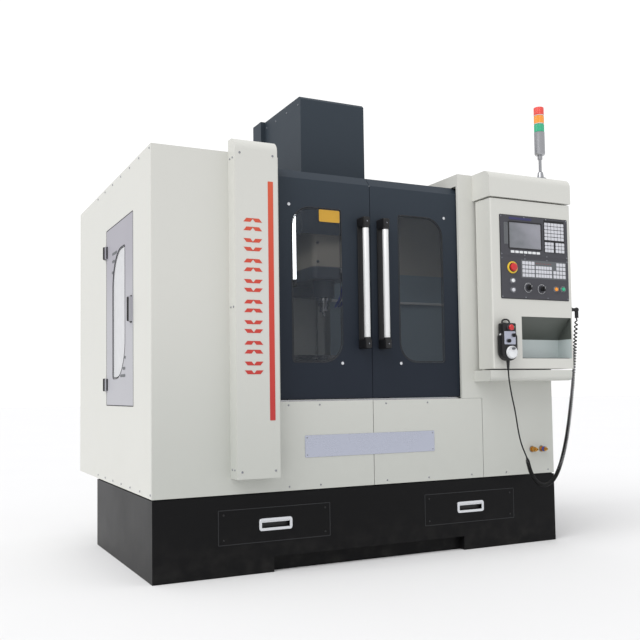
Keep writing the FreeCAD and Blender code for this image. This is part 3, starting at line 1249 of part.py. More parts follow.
def build_stack_light():
    """Post with a foot and the lamp housing, and three coloured lenses stacked on it."""
    place = (d.light_at, front - d.light_forward)
    foot = right_top
    radius = d.light_radius
    post = turned("stack_light_post",
                  [(0, foot), (30, foot), (30, foot + 8), (18, foot + 14), (14, foot + 40),
                   (d.post_radius, foot + 46), (d.post_radius, d.light_low - 26),
                   (13, d.light_low - 22), (13, d.light_low), (radius - 4, d.light_low),
                   (radius, d.light_low + 8), (radius, d.lens_low), (0, d.lens_low)], place)
    keep("stack_light_post", post)
    lenses = []
    for index, colour in enumerate(("green", "amber", "red")):
        low = d.lens_low + index * d.lens_high
        high = low + d.lens_high
        top = [(radius - 1, high), (0, high)]
        if colour == "red":
            top = [(radius - 1, high - 8), (radius - 9, high), (0, high)]
        lenses.append(turned(f"{colour}_lens", [(0, low), (radius - 1, low), *top], place))
    keep("stack_light_lenses", group("stack_light_lenses", *lenses))


def build_couplings():
    """Two quick couplings on the front for an air line and a coolant gun."""
    pieces = []
    for index, x in enumerate((d.coupling_first, d.coupling_second)):
        z = d.coupling_high
        nut = rod(f"coupling_nut_{index}", "y", d.coupling_radius + 4, (front - 10, front), (x, z))
        barrel = rod(f"coupling_barrel_{index}", "y", d.coupling_radius, (front - 34, front - 9), (x, z))
        nose = rod(f"coupling_nose_{index}", "y", 6, (front - 46, front - 33), (x, z))
        bore = rod(f"coupling_bore_{index}", "y", 3.5, (front - 47, front - 20), (x, z))
        pieces.append(cut(f"coupling_{index}", fuse(f"coupling_whole_{index}", nut, barrel, nose), bore))
    keep("air_couplings", group("air_couplings", *pieces))


# ---------------------------------------------------------------- build, check, export

build_base_casing()
build_drawer("left", -d.left_drawer_at)
build_drawer("right", d.right_drawer_at)
build_levelling_pads()
build_bed()
build_column()
build_saddle()
build_table()
build_head()
build_spindle_motor()
build_spindle()
build_tool_holder()
build_drum()
build_magazine_tools()
build_magazine_carriage()
build_magazine_rail()
build_axis_motors()
build_front_panels()
build_side_panels()
build_rear_panel()
build_lining()
build_accent_cover()
build_door_rails()
for door_side in (-1, 1):
    build_door(door_side)
    build_handle(door_side)
build_side_door()
build_cabinet()
build_column_hood()
build_control_supports()
build_control_box()
build_control_panels()
build_controls()
build_pendant()
build_cord()
build_stack_light()
build_couplings()
doc.recompute()

faults = [item.Name for item in doc.Objects if {"Invalid", "Error"} & set(item.State)]
faults += [f"{item.Name} removes nothing" for item, before in cuts
           if not item.Shape.isNull() and item.Shape.Volume > before.Shape.Volume - 0.01]
faults += [item.Label for item in sub_parts if item.Shape.isNull() or not item.Shape.isValid()]
if faults:
    raise RuntimeError(f"failed objects: {faults}")
os.makedirs("parts", exist_ok=True)
for item in sub_parts:
    item.Shape.exportStep(f"parts/{item.Label}.step")
    bounds = item.Shape.BoundBox
    print(f"{item.Label}: {len(item.Shape.Solids)} solid(s), {item.Shape.Volume / 1e6:.2f} dm3,"
          f" x {bounds.XMin:.0f}..{bounds.XMax:.0f}, y {bounds.YMin:.0f}..{bounds.YMax:.0f},"
          f" z {bounds.ZMin:.0f}..{bounds.ZMax:.0f}")
print(len(sub_parts), "sub-parts written")
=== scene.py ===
# %% [markdown]
# # A vertical machining centre
# The steel frame, castings, sheets and joints are already made and packed. This script dresses
# them: camera and light first, then the pendant cord, then one finish after another, and last
# the small parts that a workshop would screw on.

import math

import bpy
import numpy as np
from mathutils import Matrix, Vector


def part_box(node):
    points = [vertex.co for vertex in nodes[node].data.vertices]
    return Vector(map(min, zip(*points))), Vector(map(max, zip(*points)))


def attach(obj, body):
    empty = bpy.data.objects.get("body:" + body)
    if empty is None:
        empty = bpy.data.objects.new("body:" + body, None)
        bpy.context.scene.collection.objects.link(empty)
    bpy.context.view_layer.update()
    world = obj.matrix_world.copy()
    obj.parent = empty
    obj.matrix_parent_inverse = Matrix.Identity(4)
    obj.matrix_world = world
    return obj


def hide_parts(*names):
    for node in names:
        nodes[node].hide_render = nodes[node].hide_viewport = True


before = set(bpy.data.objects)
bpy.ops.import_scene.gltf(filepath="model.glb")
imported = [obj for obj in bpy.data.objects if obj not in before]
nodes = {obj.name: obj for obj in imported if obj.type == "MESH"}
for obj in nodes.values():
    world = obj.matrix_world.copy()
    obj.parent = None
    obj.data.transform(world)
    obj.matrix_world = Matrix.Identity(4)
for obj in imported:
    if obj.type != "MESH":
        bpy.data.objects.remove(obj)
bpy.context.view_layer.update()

# %% [markdown]
# ## Camera
# A product shot of a machine is taken from a low tripod a few steps away. The camera looks 26
# degrees across the front and slightly up, so the sides run back and the base looks heavy.
# Its three directions are worked out from yaw, pitch and roll and put straight in its matrix.

# %% Camera
def camera_matrix(place, yaw, pitch, roll):
    """Columns right, up and backwards: forward is (sin yaw cos pitch, cos yaw cos pitch, sin pitch),
    and roll turns right and up about it."""
    across, ahead = math.sin(yaw), math.cos(yaw)
    forward = Vector((across * math.cos(pitch), ahead * math.cos(pitch), math.sin(pitch)))
    level = Vector((ahead, -across, 0))
    above = level.cross(forward)
    right = level * math.cos(roll) + above * math.sin(roll)
    up = above * math.cos(roll) - level * math.sin(roll)
    matrix = Matrix((right, up, -forward)).transposed().to_4x4()
    matrix.translation = place
    return matrix


CAMERA_PLACE = (-2.053, -4.140, 0.809)
YAW, PITCH, ROLL = 0.4572, 0.0543, -0.0142  # radians
lens = bpy.data.cameras.new("camera")
lens.lens, lens.sensor_width = 47.66, 36
lens.shift_y = 0.040
lens.clip_end = 200
camera = bpy.data.objects.new("camera", lens)
camera.matrix_world = camera_matrix(CAMERA_PLACE, YAW, PITCH, ROLL)
bpy.context.scene.collection.objects.link(camera)
bpy.context.scene.camera = camera
print("camera", [round(value, 3) for value in camera.matrix_world.translation])

# %% [markdown]
# ## Studio
# White goods are shot on a white sweep under big soft lights. A pale plane takes the soft
# shadow. The camera sees a plain white behind it, while the machine is lit by a slightly dimmer
# sky. A wide sun lamp from the left models the sheets.

# %% Floor, world and lights
def stage_floor(size):
    """One square that lies a millimetre under the machine."""
    mesh = bpy.data.meshes.new("studio_floor")
    corners = np.array([(-1, -1, 0), (1, -1, 0), (1, 1, 0), (-1, 1, 0)]) * size / 2
    mesh.from_pydata((corners - (0, 0, 0.001)).tolist(), [], [(0, 1, 2, 3)])
    floor = bpy.data.objects.new("studio_floor", mesh)
    bpy.context.scene.collection.objects.link(floor)
    return floor


floor = stage_floor(120)
world = bpy.data.worlds.new("studio")
world.use_nodes = True
tree = world.node_tree
surroundings = tree.nodes["Background"]
surroundings.inputs["Color"].default_value = (0.985, 0.985, 1, 1)
surroundings.inputs["Strength"].default_value = 0.86
backdrop = tree.nodes.new("ShaderNodeBackground")
backdrop.inputs["Color"].default_value = (1, 1, 1, 1)
backdrop.inputs["Strength"].default_value = 1.1
chooser = tree.nodes.new("ShaderNodeMixShader")
rays = tree.nodes.new("ShaderNodeLightPath")
tree.links.new(rays.outputs["Is Camera Ray"], chooser.inputs[0])
tree.links.new(surroundings.outputs[0], chooser.inputs[1])
tree.links.new(backdrop.outputs[0], chooser.inputs[2])
tree.links.new(chooser.outputs[0], tree.nodes["World Output"].inputs[0])
bpy.context.scene.world = world
bpy.context.scene.view_settings.view_transform = "Standard"


def lamp(name, kind, place, target, energy, **settings):
    """A lamp at place whose -Z axis points at target."""
    data = bpy.data.lights.new(name, kind)
    data.energy = energy
    for key, value in settings.items():
        setattr(data, key, value)
    thing = bpy.data.objects.new(name, data)
    thing.location = place
    thing.rotation_euler = (Vector(target) - Vector(place)).to_track_quat("-Z", "Y").to_euler()
    bpy.context.scene.collection.objects.link(thing)
    return thing


lamp("sky_softbox", "SUN", (-4.5, -2.0, 6.5), (0, 0, 1), 1.7, angle=math.radians(50))
print("lights ready")

# %% [markdown]
# ## Shader arithmetic
# A finish is a small calculation on places: how far along, how noisy, how near an edge. Wired by
# hand, such a calculation fills a screen with Math nodes. Here one class stands for a socket and
# turns + - * / into those nodes, so that a formula reads like a formula.

# %% Finishes as expressions
class Field:
    """A value that varies over a surface."""

    def __init__(self, finish, socket):
        self.finish = finish
        self.socket = socket

    def math(self, operation, *values):
        """One Math node with its inputs numbered from 0."""
        return self.finish.node("ShaderNodeMath", {"operation": operation}, dict(enumerate(values)))

    def __add__(self, other):
        return self.math("ADD", self, other)

    def __sub__(self, other):
        return self.math("SUBTRACT", self, other)

    def __mul__(self, other):
        return self.math("MULTIPLY", self, other)

    def __truediv__(self, other):
        return self.math("DIVIDE", self, other)

    def __rsub__(self, other):
        return self.math("SUBTRACT", other, self)

    __radd__ = __add__
    __rmul__ = __mul__

    def over(self, limit):
        """1 where the value is greater than the limit, else 0."""
        return self.math("GREATER_THAN", self, limit)

    def wave(self):
        """The sine of the value, which counts as radians."""
        return self.math("SINE", self)

    def fade(self, start, end):
        """0 at start, 1 at end, smooth between."""
        return self.finish.node("ShaderNodeMapRange", {"interpolation_type": "SMOOTHSTEP"},
                                {"Value": self, "From Min": start, "From Max": end})


class Finish:
    """A material with one Principled shader, built from fields."""

    def __init__(self, name, colour, roughness=0.5, metallic=0.0, **fixed):
        self.material = bpy.data.materials.new(name)
        self.material.use_nodes = True
        self.tree = self.material.node_tree
        self.shader = self.tree.nodes["Principled BSDF"]
        self.shader.inputs["Base Color"].default_value = (*colour, 1)
        self.shader.inputs["Roughness"].default_value = roughness
        self.shader.inputs["Metallic"].default_value = metallic
        for key, value in fixed.items():
            self.shader.inputs[key.replace("_", " ")].default_value = value
        self.place = self.node("ShaderNodeTexCoord", output="Object")

    def node(self, kind, settings=None, inputs=None, output=0):
        """Any node: its settings first, then the values or links of its sockets."""
        made = self.tree.nodes.new(kind)
        for key, value in (settings or {}).items():
            if key == "stops":
                while len(made.color_ramp.elements) < len(value):
                    made.color_ramp.elements.new(0.5)
                for element, (position, tone) in zip(made.color_ramp.elements, value):
                    element.position = position
                    element.color = (*tone, 1)
            else:
                setattr(made, key, value)
        for key, value in (inputs or {}).items():
            if isinstance(value, (Field, bpy.types.NodeSocket)):
                self.tree.links.new(getattr(value, "socket", value), made.inputs[key])
            else:
                made.inputs[key].default_value = value
        return Field(self, made.outputs[output])

    def axes(self):
        """The x, y and z of the place on the object, in metres."""
        return [self.node("ShaderNodeSeparateXYZ", None, {0: self.place}, axis) for axis in range(3)]

    def stretched(self, scale):
        """The place, scaled differently along x, y and z."""
        return self.node("ShaderNodeMapping", None, {"Vector": self.place, "Scale": scale})

    def noise(self, scale, detail=2.0, rough=0.5, place=None):
        """Soft clouds between 0 and 1, scale of them to a metre."""
        return self.node("ShaderNodeTexNoise", None,
                         {"Vector": place or self.place, "Scale": scale, "Detail": detail,
                          "Roughness": rough})

    def ramp(self, value, *stops):
        """Colours along a value: each stop is (position, colour)."""
        return self.node("ShaderNodeValToRGB", {"stops": stops}, {0: value})

    def mix(self, factor, first, second):
        """Mix two colours, each a field or a plain colour."""
        pair = [tone if isinstance(tone, (Field, bpy.types.NodeSocket)) else (*tone[:3], 1)
                for tone in (first, second)]
        return self.node("ShaderNodeMix", {"data_type": "RGBA"}, {0: factor, 6: pair[0], 7: pair[1]}, 2)

    def feed(self, **fields):
        """Link fields to the shader's sockets of the same names."""
        for key, field in fields.items():
            self.tree.links.new(field.socket, self.shader.inputs[key.replace("_", " ")])

    def bump(self, height, distance):
        """Tilt the normal by a height field that is distance metres tall."""
        tilted = self.node("ShaderNodeBump", None, {"Height": height, "Distance": distance})
        self.tree.links.new(tilted.socket, self.shader.inputs["Normal"])


def tone(red, green, blue):
    """A colour read off a colour card (0 to 255) as the linear light that a shader wants."""
    card = np.array((red, green, blue)) / 255
    linear = np.where(card <= 0.04045, card / 12.92, ((card + 0.055) / 1.055) ** 2.4)
    return tuple(float(value) for value in linear)


def shade(colour, factor):
    """A colour times a factor, never past full light."""
    return tuple(min(1, value * factor) for value in colour)


print("shader helpers ready")

# %% [markdown]
# ## Painted sheet
# The booth is folded steel with a powder coat: tiny orange peel, a slow drift of tone where the
# coat is thicker, and dust that gathers low down. A masked second tone gives two-tone paint on some
# sheets and painted shade and painted light on others. The same recipe with another colour gives
# the slate doors and the black skirt, so it is one function.

# %% Powder coat
def powder_coat(name, colour, roughness, peel=0.00006, drift=0.05, dust=0.0, dust_top=0.6,
                dust_tone=(0.30, 0.28, 0.25), inside=None, inside_tone=None, **fixed):
    """Coated sheet. Where the field inside(x, y, z) is 1, the coat has the inside tone, which on some
    sheets is a second paint and on others painted shade and painted light; dust lies thickest on the
    floor and ends at dust_top."""
    finish = Finish(name, colour, roughness, **fixed)
    x, y, z = finish.axes()
    fine = finish.noise(900, 2)
    paint = finish.mix(finish.noise(1.7, 3), shade(colour, 1 - drift), shade(colour, 1 + drift))
    if inside:
        paint = finish.mix(inside(x, y, z), paint, inside_tone)
    if dust:
        low = 1 - z.fade(0, dust_top)
        patchy = finish.noise(14, 4).fade(0.35, 0.75)
        paint = finish.mix(low * patchy * dust, paint, dust_tone)
    finish.feed(Base_Color=paint, Roughness=roughness + 0.10 * (finish.noise(5, 4) - 0.5) + 0.05 * fine)
    finish.bump(fine + 0.6 * finish.noise(330, 1), peel)
    return finish


def front_low_shade(x, y, z):
    """1 low down on the sheets that face forwards, fading out at chest height: where the painted shade lies.
    """
    return (-0.55 - y).over(0) * (1 - z.fade(0.30, 1.40))


def rising(low, high):
    """A mask that is 0 below low and 1 above high."""
    return lambda x, y, z: z.fade(low, high)


def cubby_mask(x, y, z):
    """1 behind the front of the control box, between the walls of its cubby."""
    across = x.over(0.7925) * (1.1245 - x).over(0)
    return y.over(-0.7040) * across * z.over(0.9645) * (1.1805 - z).over(0)


# Painted shade: the sheets that face forwards darken low down; the dust is separate.
front_paint = powder_coat("booth_paint", tone(206, 206, 200), 0.42, drift=0.012, dust=0.05, dust_top=0.9,
                          inside=front_low_shade, inside_tone=tone(188, 190, 184))
# Painted shade: the side door darkens towards its top.
side_door_paint = powder_coat("side_door_paint", tone(171, 171, 176), 0.40, drift=0.02,
                              inside=rising(1.15, 1.55), inside_tone=tone(157, 155, 163))
# Painted sheen: the slate doors and hood grow lighter towards the top.
door_paint = powder_coat("slate_door_paint", tone(34, 40, 50), 0.46, drift=0.06,
                         inside=rising(0.8, 2.3), inside_tone=tone(55, 63, 71), Specular_IOR_Level=0.15)
skirt_paint = powder_coat("black_skirt_paint", tone(20, 20, 21), 0.34, drift=0.12, dust=0.03,
                          dust_top=0.25, Specular_IOR_Level=0.09)
box_paint = powder_coat("control_box_paint", tone(205, 205, 199), 0.42, drift=0.012,
                        inside=cubby_mask, inside_tone=tone(198, 208, 207))
# Painted shade: the sloped roof inside the cubby is coated dark, where the cubby's shade falls.
cubby_roof_shade = cubby_mask(*box_paint.axes()) * box_paint.axes()[2].over(1.0685)
coat_so_far = box_paint.shader.inputs["Base Color"].links[0].from_socket
box_paint.feed(Base_Color=box_paint.mix(cubby_roof_shade, coat_so_far, tone(84, 89, 84)))
lining_paint = powder_coat("lining_paint", tone(148, 166, 178), 0.38, drift=0.08,
                           inside=rising(1.515, 1.522), inside_tone=tone(192, 188, 178))
head_paint = powder_coat("head_paint", tone(64, 71, 82), 0.40, drift=0.06,
                         inside=rising(1.470, 1.480), inside_tone=tone(160, 155, 144))
print("sheet finishes ready")

# %% [markdown]
# ## Castings, ground ways and machined steel
# A casting is filled and sprayed, but the sand still shows as a coarse skin. Ways and the table
# are ground, which leaves fine parallel lines; turned parts carry rings. Both are noise
# squeezed along one direction, so the difference is only which axis is squeezed.

# %% Castings and metals
def cast_paint(name, colour):
    """Filler and enamel over sand: a coarse skin with larger lumps under it."""
    finish = Finish(name, colour, 0.45)
    sand = finish.noise(260, 4, 0.6)
    lumps = finish.noise(40, 3)
    finish.feed(Base_Color=finish.mix(lumps, shade(colour, 0.9), shade(colour, 1.08)),
                Roughness=0.36 + 0.2 * sand)
    finish.bump(sand + 1.6 * lumps, 0.0006)
    return finish


def ground_metal(name, colour, squeeze, roughness=0.32, metallic=0.9, oil=0.25):
    """Noise squeezed by a scale per axis: long lines run along the axis with the small number."""
    finish = Finish(name, colour, roughness, metallic)
    lines = finish.noise(1.0, 3, place=finish.stretched(squeeze))
    film = finish.noise(9, 5).fade(0.3, 0.8)
    finish.feed(Base_Color=finish.mix(film * oil, colour, shade(colour, 0.55)),
                Roughness=roughness + 0.22 * (lines - 0.5) - 0.12 * film)
    finish.bump(lines, 0.00003)
    return finish


casting = cast_paint("machine_enamel", tone(168, 170, 166))
ground_top = ground_metal("ground_table", tone(150, 150, 150), (12, 900, 900))
ground_bar = ground_metal("ground_bar", tone(176, 176, 178), (14, 700, 700), 0.28)
turned_steel = ground_metal("turned_steel", tone(170, 171, 174), (60, 60, 1600), 0.25)
brushed_plate = ground_metal("brushed_plate", tone(182, 186, 200), (30, 900, 1400), 0.34, 0.85, 0.1)
grip_metal = ground_metal("anodised_grip", tone(230, 231, 231), (500, 500, 25), 0.36, 0.25, 0.04)
brass = ground_metal("turned_brass", tone(206, 158, 84), (400, 1800, 400), 0.26, 1.0, 0.2)
zinc = ground_metal("zinc_screws", tone(150, 152, 158), (900, 900, 900), 0.3, 0.9, 0.2)
bright_trim = ground_metal("bright_trim", tone(214, 216, 220), (200, 1200, 1200), 0.24, 0.8, 0.08)
print("metals ready")

# %% [markdown]
# ## Plastics, rubber and glass
# Housings and keys are moulded with a fine texture; the window is laminated safety glass that
# lets the inside show and still mirrors the room. Each material differs from the next
# mostly in how sharp its highlight is, so roughness gets as much care as colour.

# %% Plastics and glass
def moulded(name, colour, roughness=0.5, grain=0.00004, scale=1300, **fixed):
    """Plastic or rubber whose grain stands grain metres high, and whose gloss wears in patches."""
    finish = Finish(name, colour, roughness, **fixed)
    worn = finish.noise(22, 4)
    finish.feed(Base_Color=finish.mix(worn, shade(colour, 0.9), shade(colour, 1.07)),
                Roughness=roughness + 0.14 * (worn - 0.5))
    finish.bump(finish.noise(scale, 2), grain)
    return finish


bezel_plastic = moulded("bezel_plastic", tone(66, 66, 72), 0.5, Specular_IOR_Level=0.4)
black_plastic = moulded("black_plastic", tone(24, 24, 26), 0.42, Specular_IOR_Level=0.4)
key_plastic = moulded("key_plastic", tone(205, 206, 212), 0.45)
red_plastic = moulded("red_plastic", tone(196, 32, 38), 0.24, 0.00001, Coat_Weight=0.3)
yellow_plastic = moulded("yellow_plastic", tone(236, 200, 60), 0.4)
white_plastic = moulded("white_plastic", tone(226, 228, 230), 0.3)
blue_plastic = moulded("blue_plastic", tone(46, 62, 150), 0.35)
gasket_rubber = moulded("gasket_rubber", tone(26, 27, 30), 0.7, 0.00008, 700)
cord_rubber = moulded("cord_rubber", tone(13, 13, 14), 0.5, 0.00004, 900, Specular_IOR_Level=0.25)
film_plastic = moulded("film_plastic", tone(198, 152, 44), 0.4)
rubber_slate = moulded("rubber_slate", tone(40, 43, 48), 0.6, 0.00006, 700)
navy_plastic = moulded("navy_plastic", tone(50, 50, 96), 0.4)
slot_plastic = moulded("slot_plastic", tone(92, 95, 98), 0.48)
motor_paint = moulded("motor_paint", tone(38, 39, 42), 0.5, 0.0001, 500)


def window_glass():
    """Grey laminate: a faint smear pattern in its gloss, and enough of its own body to darken."""
    finish = Finish("window_laminate", tone(58, 64, 72), 0.05, Specular_IOR_Level=0.5)
    smear = finish.noise(7, 5, place=finish.stretched((1, 1, 0.35)))
    finish.feed(Roughness=0.03 + 0.12 * smear.fade(0.45, 0.8), Alpha=0.20 + 0.08 * finish.noise(3, 2))
    return finish


glass = window_glass()
# Painted reflection: the side pane is pale and mostly opaque, standing for the white room it mirrors.
side_glass_reflection = moulded("side_laminate", tone(220, 221, 223), 0.12, 0.00001, 60, Specular_IOR_Level=0.6)
side_glass_reflection.shader.inputs["Alpha"].default_value = 0.82


def lens_plastic(name, colour, glow=0.18):
    """A tinted lens: deep colour with fine level rings, and a little light of its own."""
    finish = Finish(name, colour, 0.18, Coat_Weight=0.4)
    rings = (finish.axes()[2] * 1100).wave()
    finish.feed(Base_Color=finish.mix(0.5 + 0.5 * rings, shade(colour, 0.75), colour),
                Roughness=0.16 + 0.06 * rings)
    finish.shader.inputs["Emission Color"].default_value = (*colour, 1)
    finish.shader.inputs["Emission Strength"].default_value = glow
    finish.bump(rings, 0.0002)
    return finish


red_lens = lens_plastic("red_lens", tone(222, 64, 52))
amber_lens = lens_plastic("amber_lens", tone(238, 150, 46))
green_lens = lens_plastic("green_lens", tone(40, 170, 126))
print("plastics ready")

# %% [markdown]
# The floor is paper: nearly white, matt, and uneven by a hundredth so that it isn't a flat patch.

# %% Paper floor
def floor_finish():
    """Two greys, a hundredth to either side of the middle, drifting slowly into each other."""
    finish = Finish("studio_paper", (0.80, 0.80, 0.80), 0.9, Specular_IOR_Level=0.1)
    finish.feed(Base_Color=finish.mix(finish.noise(0.8, 2), (0.79, 0.79, 0.79), (0.81, 0.81, 0.81)))
    return finish


floor.data.materials.append(floor_finish().material)
print("floor finished")

# %% [markdown]
# ## Dressing the frame
# Every part that came with the frame keeps its shape and gets one of the finishes. The list is
# the painter's plan: one line for each finish, with the parts that it covers.

# %% Paint plan
PAINT_PLAN = {
    front_paint: "left_front_panel centre_front_panel right_front_panel left_side_panel right_side_panel "
                 "rear_panel accent_cover electrical_cabinet cabinet_door control_hood control_shelf",
    box_paint: "control_box",
    side_door_paint: "side_door",
    door_paint: "left_door right_door column_hood",
    skirt_paint: "base_casing left_drawer right_drawer",
    lining_paint: "chamber_lining",
    casting: "bed_casting column_casting saddle magazine_carriage",
    head_paint: "head_casting",
    ground_top: "table",
    ground_bar: "magazine_rail door_rails",
    turned_steel: "spindle tool_holder magazine_tools magazine_drum levelling_pads stack_light_post",
    motor_paint: "spindle_motor axis_motors",
    glass: "left_window right_window",
    side_glass_reflection: "side_window",
    bezel_plastic: "display_unit operator_panel",
    black_plastic: "left_handle right_handle feed_selector mode_selector pendant_case pendant_axis_knob "
                   "pendant_scale_knob cord_glands",
    red_plastic: "emergency_stop pendant_stop",
    white_plastic: "white_button pendant_wheel",
    key_plastic: "grey_button",
    amber_lens: "orange_button",
    green_lens: "green_button",
    red_lens: "stack_light_lenses",
    brass: "air_couplings",
    cord_rubber: "cord_straight cord_curly",
}


def dress(finish, names):
    """Put one finish on frame parts, leaving their meshes alone."""
    for name in names:
        part = nodes[name]
        if not part.material_slots:
            part.data.materials.append(finish.material)
        for place in part.material_slots:
            place.material = finish.material


for finish, names in PAINT_PLAN.items():
    dress(finish, names.split())
dressed = " ".join(PAINT_PLAN.values()).split()
print("dressed", len(dressed), "parts; bare:", sorted(set(nodes) - set(dressed)))

# %% [markdown]
# The record has its own words for materials. A finish goes with one word nearly everywhere, and
# this table lists which.

# %% Words for materials
WORDS = {
    "body_grey": (front_paint, lining_paint),
    "slate": (door_paint,),
    "galvanised": (grip_metal, bright_trim, brushed_plate),
    "ground_steel": (zinc, turned_steel),
    "brass": (brass,),
    "black_plastic": (black_plastic, gasket_rubber, rubber_slate, blue_plastic, motor_paint, bezel_plastic),
    "panel_dark": (navy_plastic, slot_plastic),
    "white_plastic": (white_plastic, key_plastic),
    "red_plastic": (red_plastic,),
    "orange_plastic": (yellow_plastic, film_plastic),
    "green_plastic": (green_lens,),
    "cord_jacket": (cord_rubber,),
}
SLOT_OF = {finish: word for word, finishes in WORDS.items() for finish in finishes}
print(len(SLOT_OF), "finishes have a word")

# %% [markdown]
# ## From grids of points to meshes
# Nearly all small machine parts are rings of points in a row: a knob is circles that change
# radius, a key is rounded rectangles that shrink as they rise, a lead is circles along a path.
# So one function turns such a stack of rings into faces, and the shapes are only arithmetic.

# %% Rings to mesh
def ring_faces(rings, around, looped):
    """Quads: point j of ring i, point j+1, the same two of ring i+1, with j wrapping round."""
    last = rings if looped else rings - 1
    ring, point = np.meshgrid(np.arange(last), np.arange(around), indexing="ij")
    beyond, beside = (ring + 1) % rings, (point + 1) % around
    corners = (ring * around + point, ring * around + beside, beyond * around + beside,
               beyond * around + point)
    return np.stack(corners, -1).reshape(-1, 4)


def cap_faces(first, around, centre):
    """Triangles from a centre point to each edge of the ring that starts at index first."""
    point = np.arange(around)
    return np.stack((np.full(around, centre), first + (point + 1) % around, first + point), -1)


def shell(stack, looped):
    """Points, quads and triangles of one closed stack, turned so that its volume is positive:
    the sum of a . (b x c) / 6 over its triangles."""
    rings, around = stack.shape[:2]
    points = stack.reshape(-1, 3)
    quads = ring_faces(rings, around, looped)
    caps = np.zeros((0, 3), int)
    if not looped:
        points = np.vstack((points, stack[0].mean(0), stack[-1].mean(0)))
        total = rings * around
        caps = np.vstack((cap_faces(0, around, total),
                          cap_faces(total - around, around, total + 1)[:, [0, 2, 1]]))
    triangles = np.vstack((quads[:, [0, 1, 2]], quads[:, [0, 2, 3]], caps))
    a, b, c = (points[triangles[:, corner]] - points.mean(0) for corner in range(3))
    if np.einsum("ij,ij->", a, np.cross(b, c)) < 0:
        quads, caps = quads[:, ::-1], caps[:, ::-1]
    return points, quads, caps


def piece(name, stacks, finish, body="frame", looped=False, crease=32, instead_of=()):
    """One object made of closed stacks of rings, with one finish, attached to a body; it hides the
    frame parts that it stands in for."""
    points, faces, start = [], [], 0
    for stack in stacks:
        ring_points, quads, caps = shell(np.asarray(stack, float), looped)
        points.append(ring_points)
        faces += (quads + start).tolist() + (caps + start).tolist()
        start += len(ring_points)
    mesh = bpy.data.meshes.new(name)
    mesh.from_pydata(np.vstack(points).tolist(), [], faces)
    mesh.polygons.foreach_set("use_smooth", np.ones(len(mesh.polygons), bool))
    mesh.set_sharp_from_angle(angle=math.radians(crease))
    mesh.materials.append(finish.material)
    made = bpy.data.objects.new(name, mesh)
    bpy.context.scene.collection.objects.link(made)
    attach(made, body)
    if instead_of:
        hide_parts(*instead_of)
    print(f"{name}: {len(mesh.polygons)} faces on {body}")
    return made


# %% [markdown]
# ## Three families of shapes
# Turned parts, pressed or moulded plates, and anything carried along a line. Each takes its
# place and the way it faces, so the same key or screw can sit on the front, a side or the back.

# %% Turned, plated and carried shapes
FACINGS = {  # across, up, outwards
    "front": ((1, 0, 0), (0, 0, 1), (0, -1, 0)),
    "back": ((-1, 0, 0), (0, 0, 1), (0, 1, 0)),
    "left": ((0, -1, 0), (0, 0, 1), (-1, 0, 0)),
    "right": ((0, 1, 0), (0, 0, 1), (1, 0, 0)),
    "up": ((1, 0, 0), (0, 1, 0), (0, 0, 1)),
    "down": ((1, 0, 0), (0, -1, 0), (0, 0, -1)),
}


def turned_part(profile, place, facing="front", steps=28):
    """Circles along the outward axis: place + r cos a across + r sin a up + level outwards, for
    each (r, level) of the profile."""
    across, up, out = np.array(FACINGS[facing], float)
    radius, level = np.array(profile, float).T[:, :, None, None]
    angle = np.linspace(0, 2 * np.pi, steps, endpoint=False)[None, :, None]
    circle = np.cos(angle) * across + np.sin(angle) * up
    return np.array(place) + radius * circle + level * out


def rounded_outline(width, height, radii, steps=5):
    """Four corner arcs, each corner's centre + r (cos a, sin a), from the lower right round."""
    radii = np.maximum(np.broadcast_to(np.array(radii, float), 4), 0.0002)
    quarter = np.linspace(0, np.pi / 2, steps)
    angle = (np.arange(4) - 1)[:, None] * np.pi / 2 + quarter
    sides = np.array([(1, -1), (1, 1), (-1, 1), (-1, -1)])
    centre = sides * (np.array([width, height]) / 2 - radii[:, None])
    arcs = centre[:, None] + radii[:, None, None] * np.stack((np.cos(angle), np.sin(angle)), -1)
    return arcs.reshape(-1, 2)


def plate(width, height, radius, profile, place, facing="front", steps=5):
    """Rounded rectangles that shrink by an inset at each level: (inset, level) is the profile, and
    level counts outwards from place."""
    across, up, out = np.array(FACINGS[facing], float)
    flat = np.array([rounded_outline(width - 2 * inset, height - 2 * inset, radius - inset, steps)
                     for inset, _ in profile])
    level = np.array([level for _, level in profile])[:, None, None]
    return np.array(place) + flat[..., :1] * across + flat[..., 1:] * up + level * out


def carried(path, section, reference, looped=False):
    """A section carried along a path: point + s across + t over, where along is the direction of
    the path, across = along x reference and over = across x along."""
    path = np.asarray(path, float)
    if looped:
        along = np.roll(path, -1, 0) - np.roll(path, 1, 0)
    else:
        along = np.gradient(path, axis=0)
    along /= np.linalg.norm(along, axis=1, keepdims=True)
    across = np.cross(along, np.broadcast_to(np.asarray(reference, float), path.shape))
    across /= np.linalg.norm(across, axis=1, keepdims=True)
    over = np.cross(across, along)
    s, t = np.asarray(section, float).T[:, None, :, None]
    return path[:, None] + s * across[:, None] + t * over[:, None]


def disc_section(radius, steps=10):
    """A circle as a section: r (cos a, sin a)."""
    angle = np.linspace(0, 2 * np.pi, steps, endpoint=False)
    return radius * np.stack((np.cos(angle), np.sin(angle)), -1)


def slab_piece(width, height, thick, place, facing="front", radius=0.002, soft=0.0008):
    """A plate with softened outer edges that rises thick from place."""
    return plate(width, height, radius, [(0, 0), (0, thick - soft), (soft, thick)], place, facing)


print("shape helpers ready")

# %% [markdown]
# ## The pendant lead
# The hand pendant hangs on a lead that is plain as far as the floor of its loop, then curls like
# a telephone cord up to the gland on the flank. The plain route is a NURBS line through the air.
# The curl is the same lead wound round that line: tight at the bottom, where it is at rest, and
# drawn open further up by the weight that hangs from it.

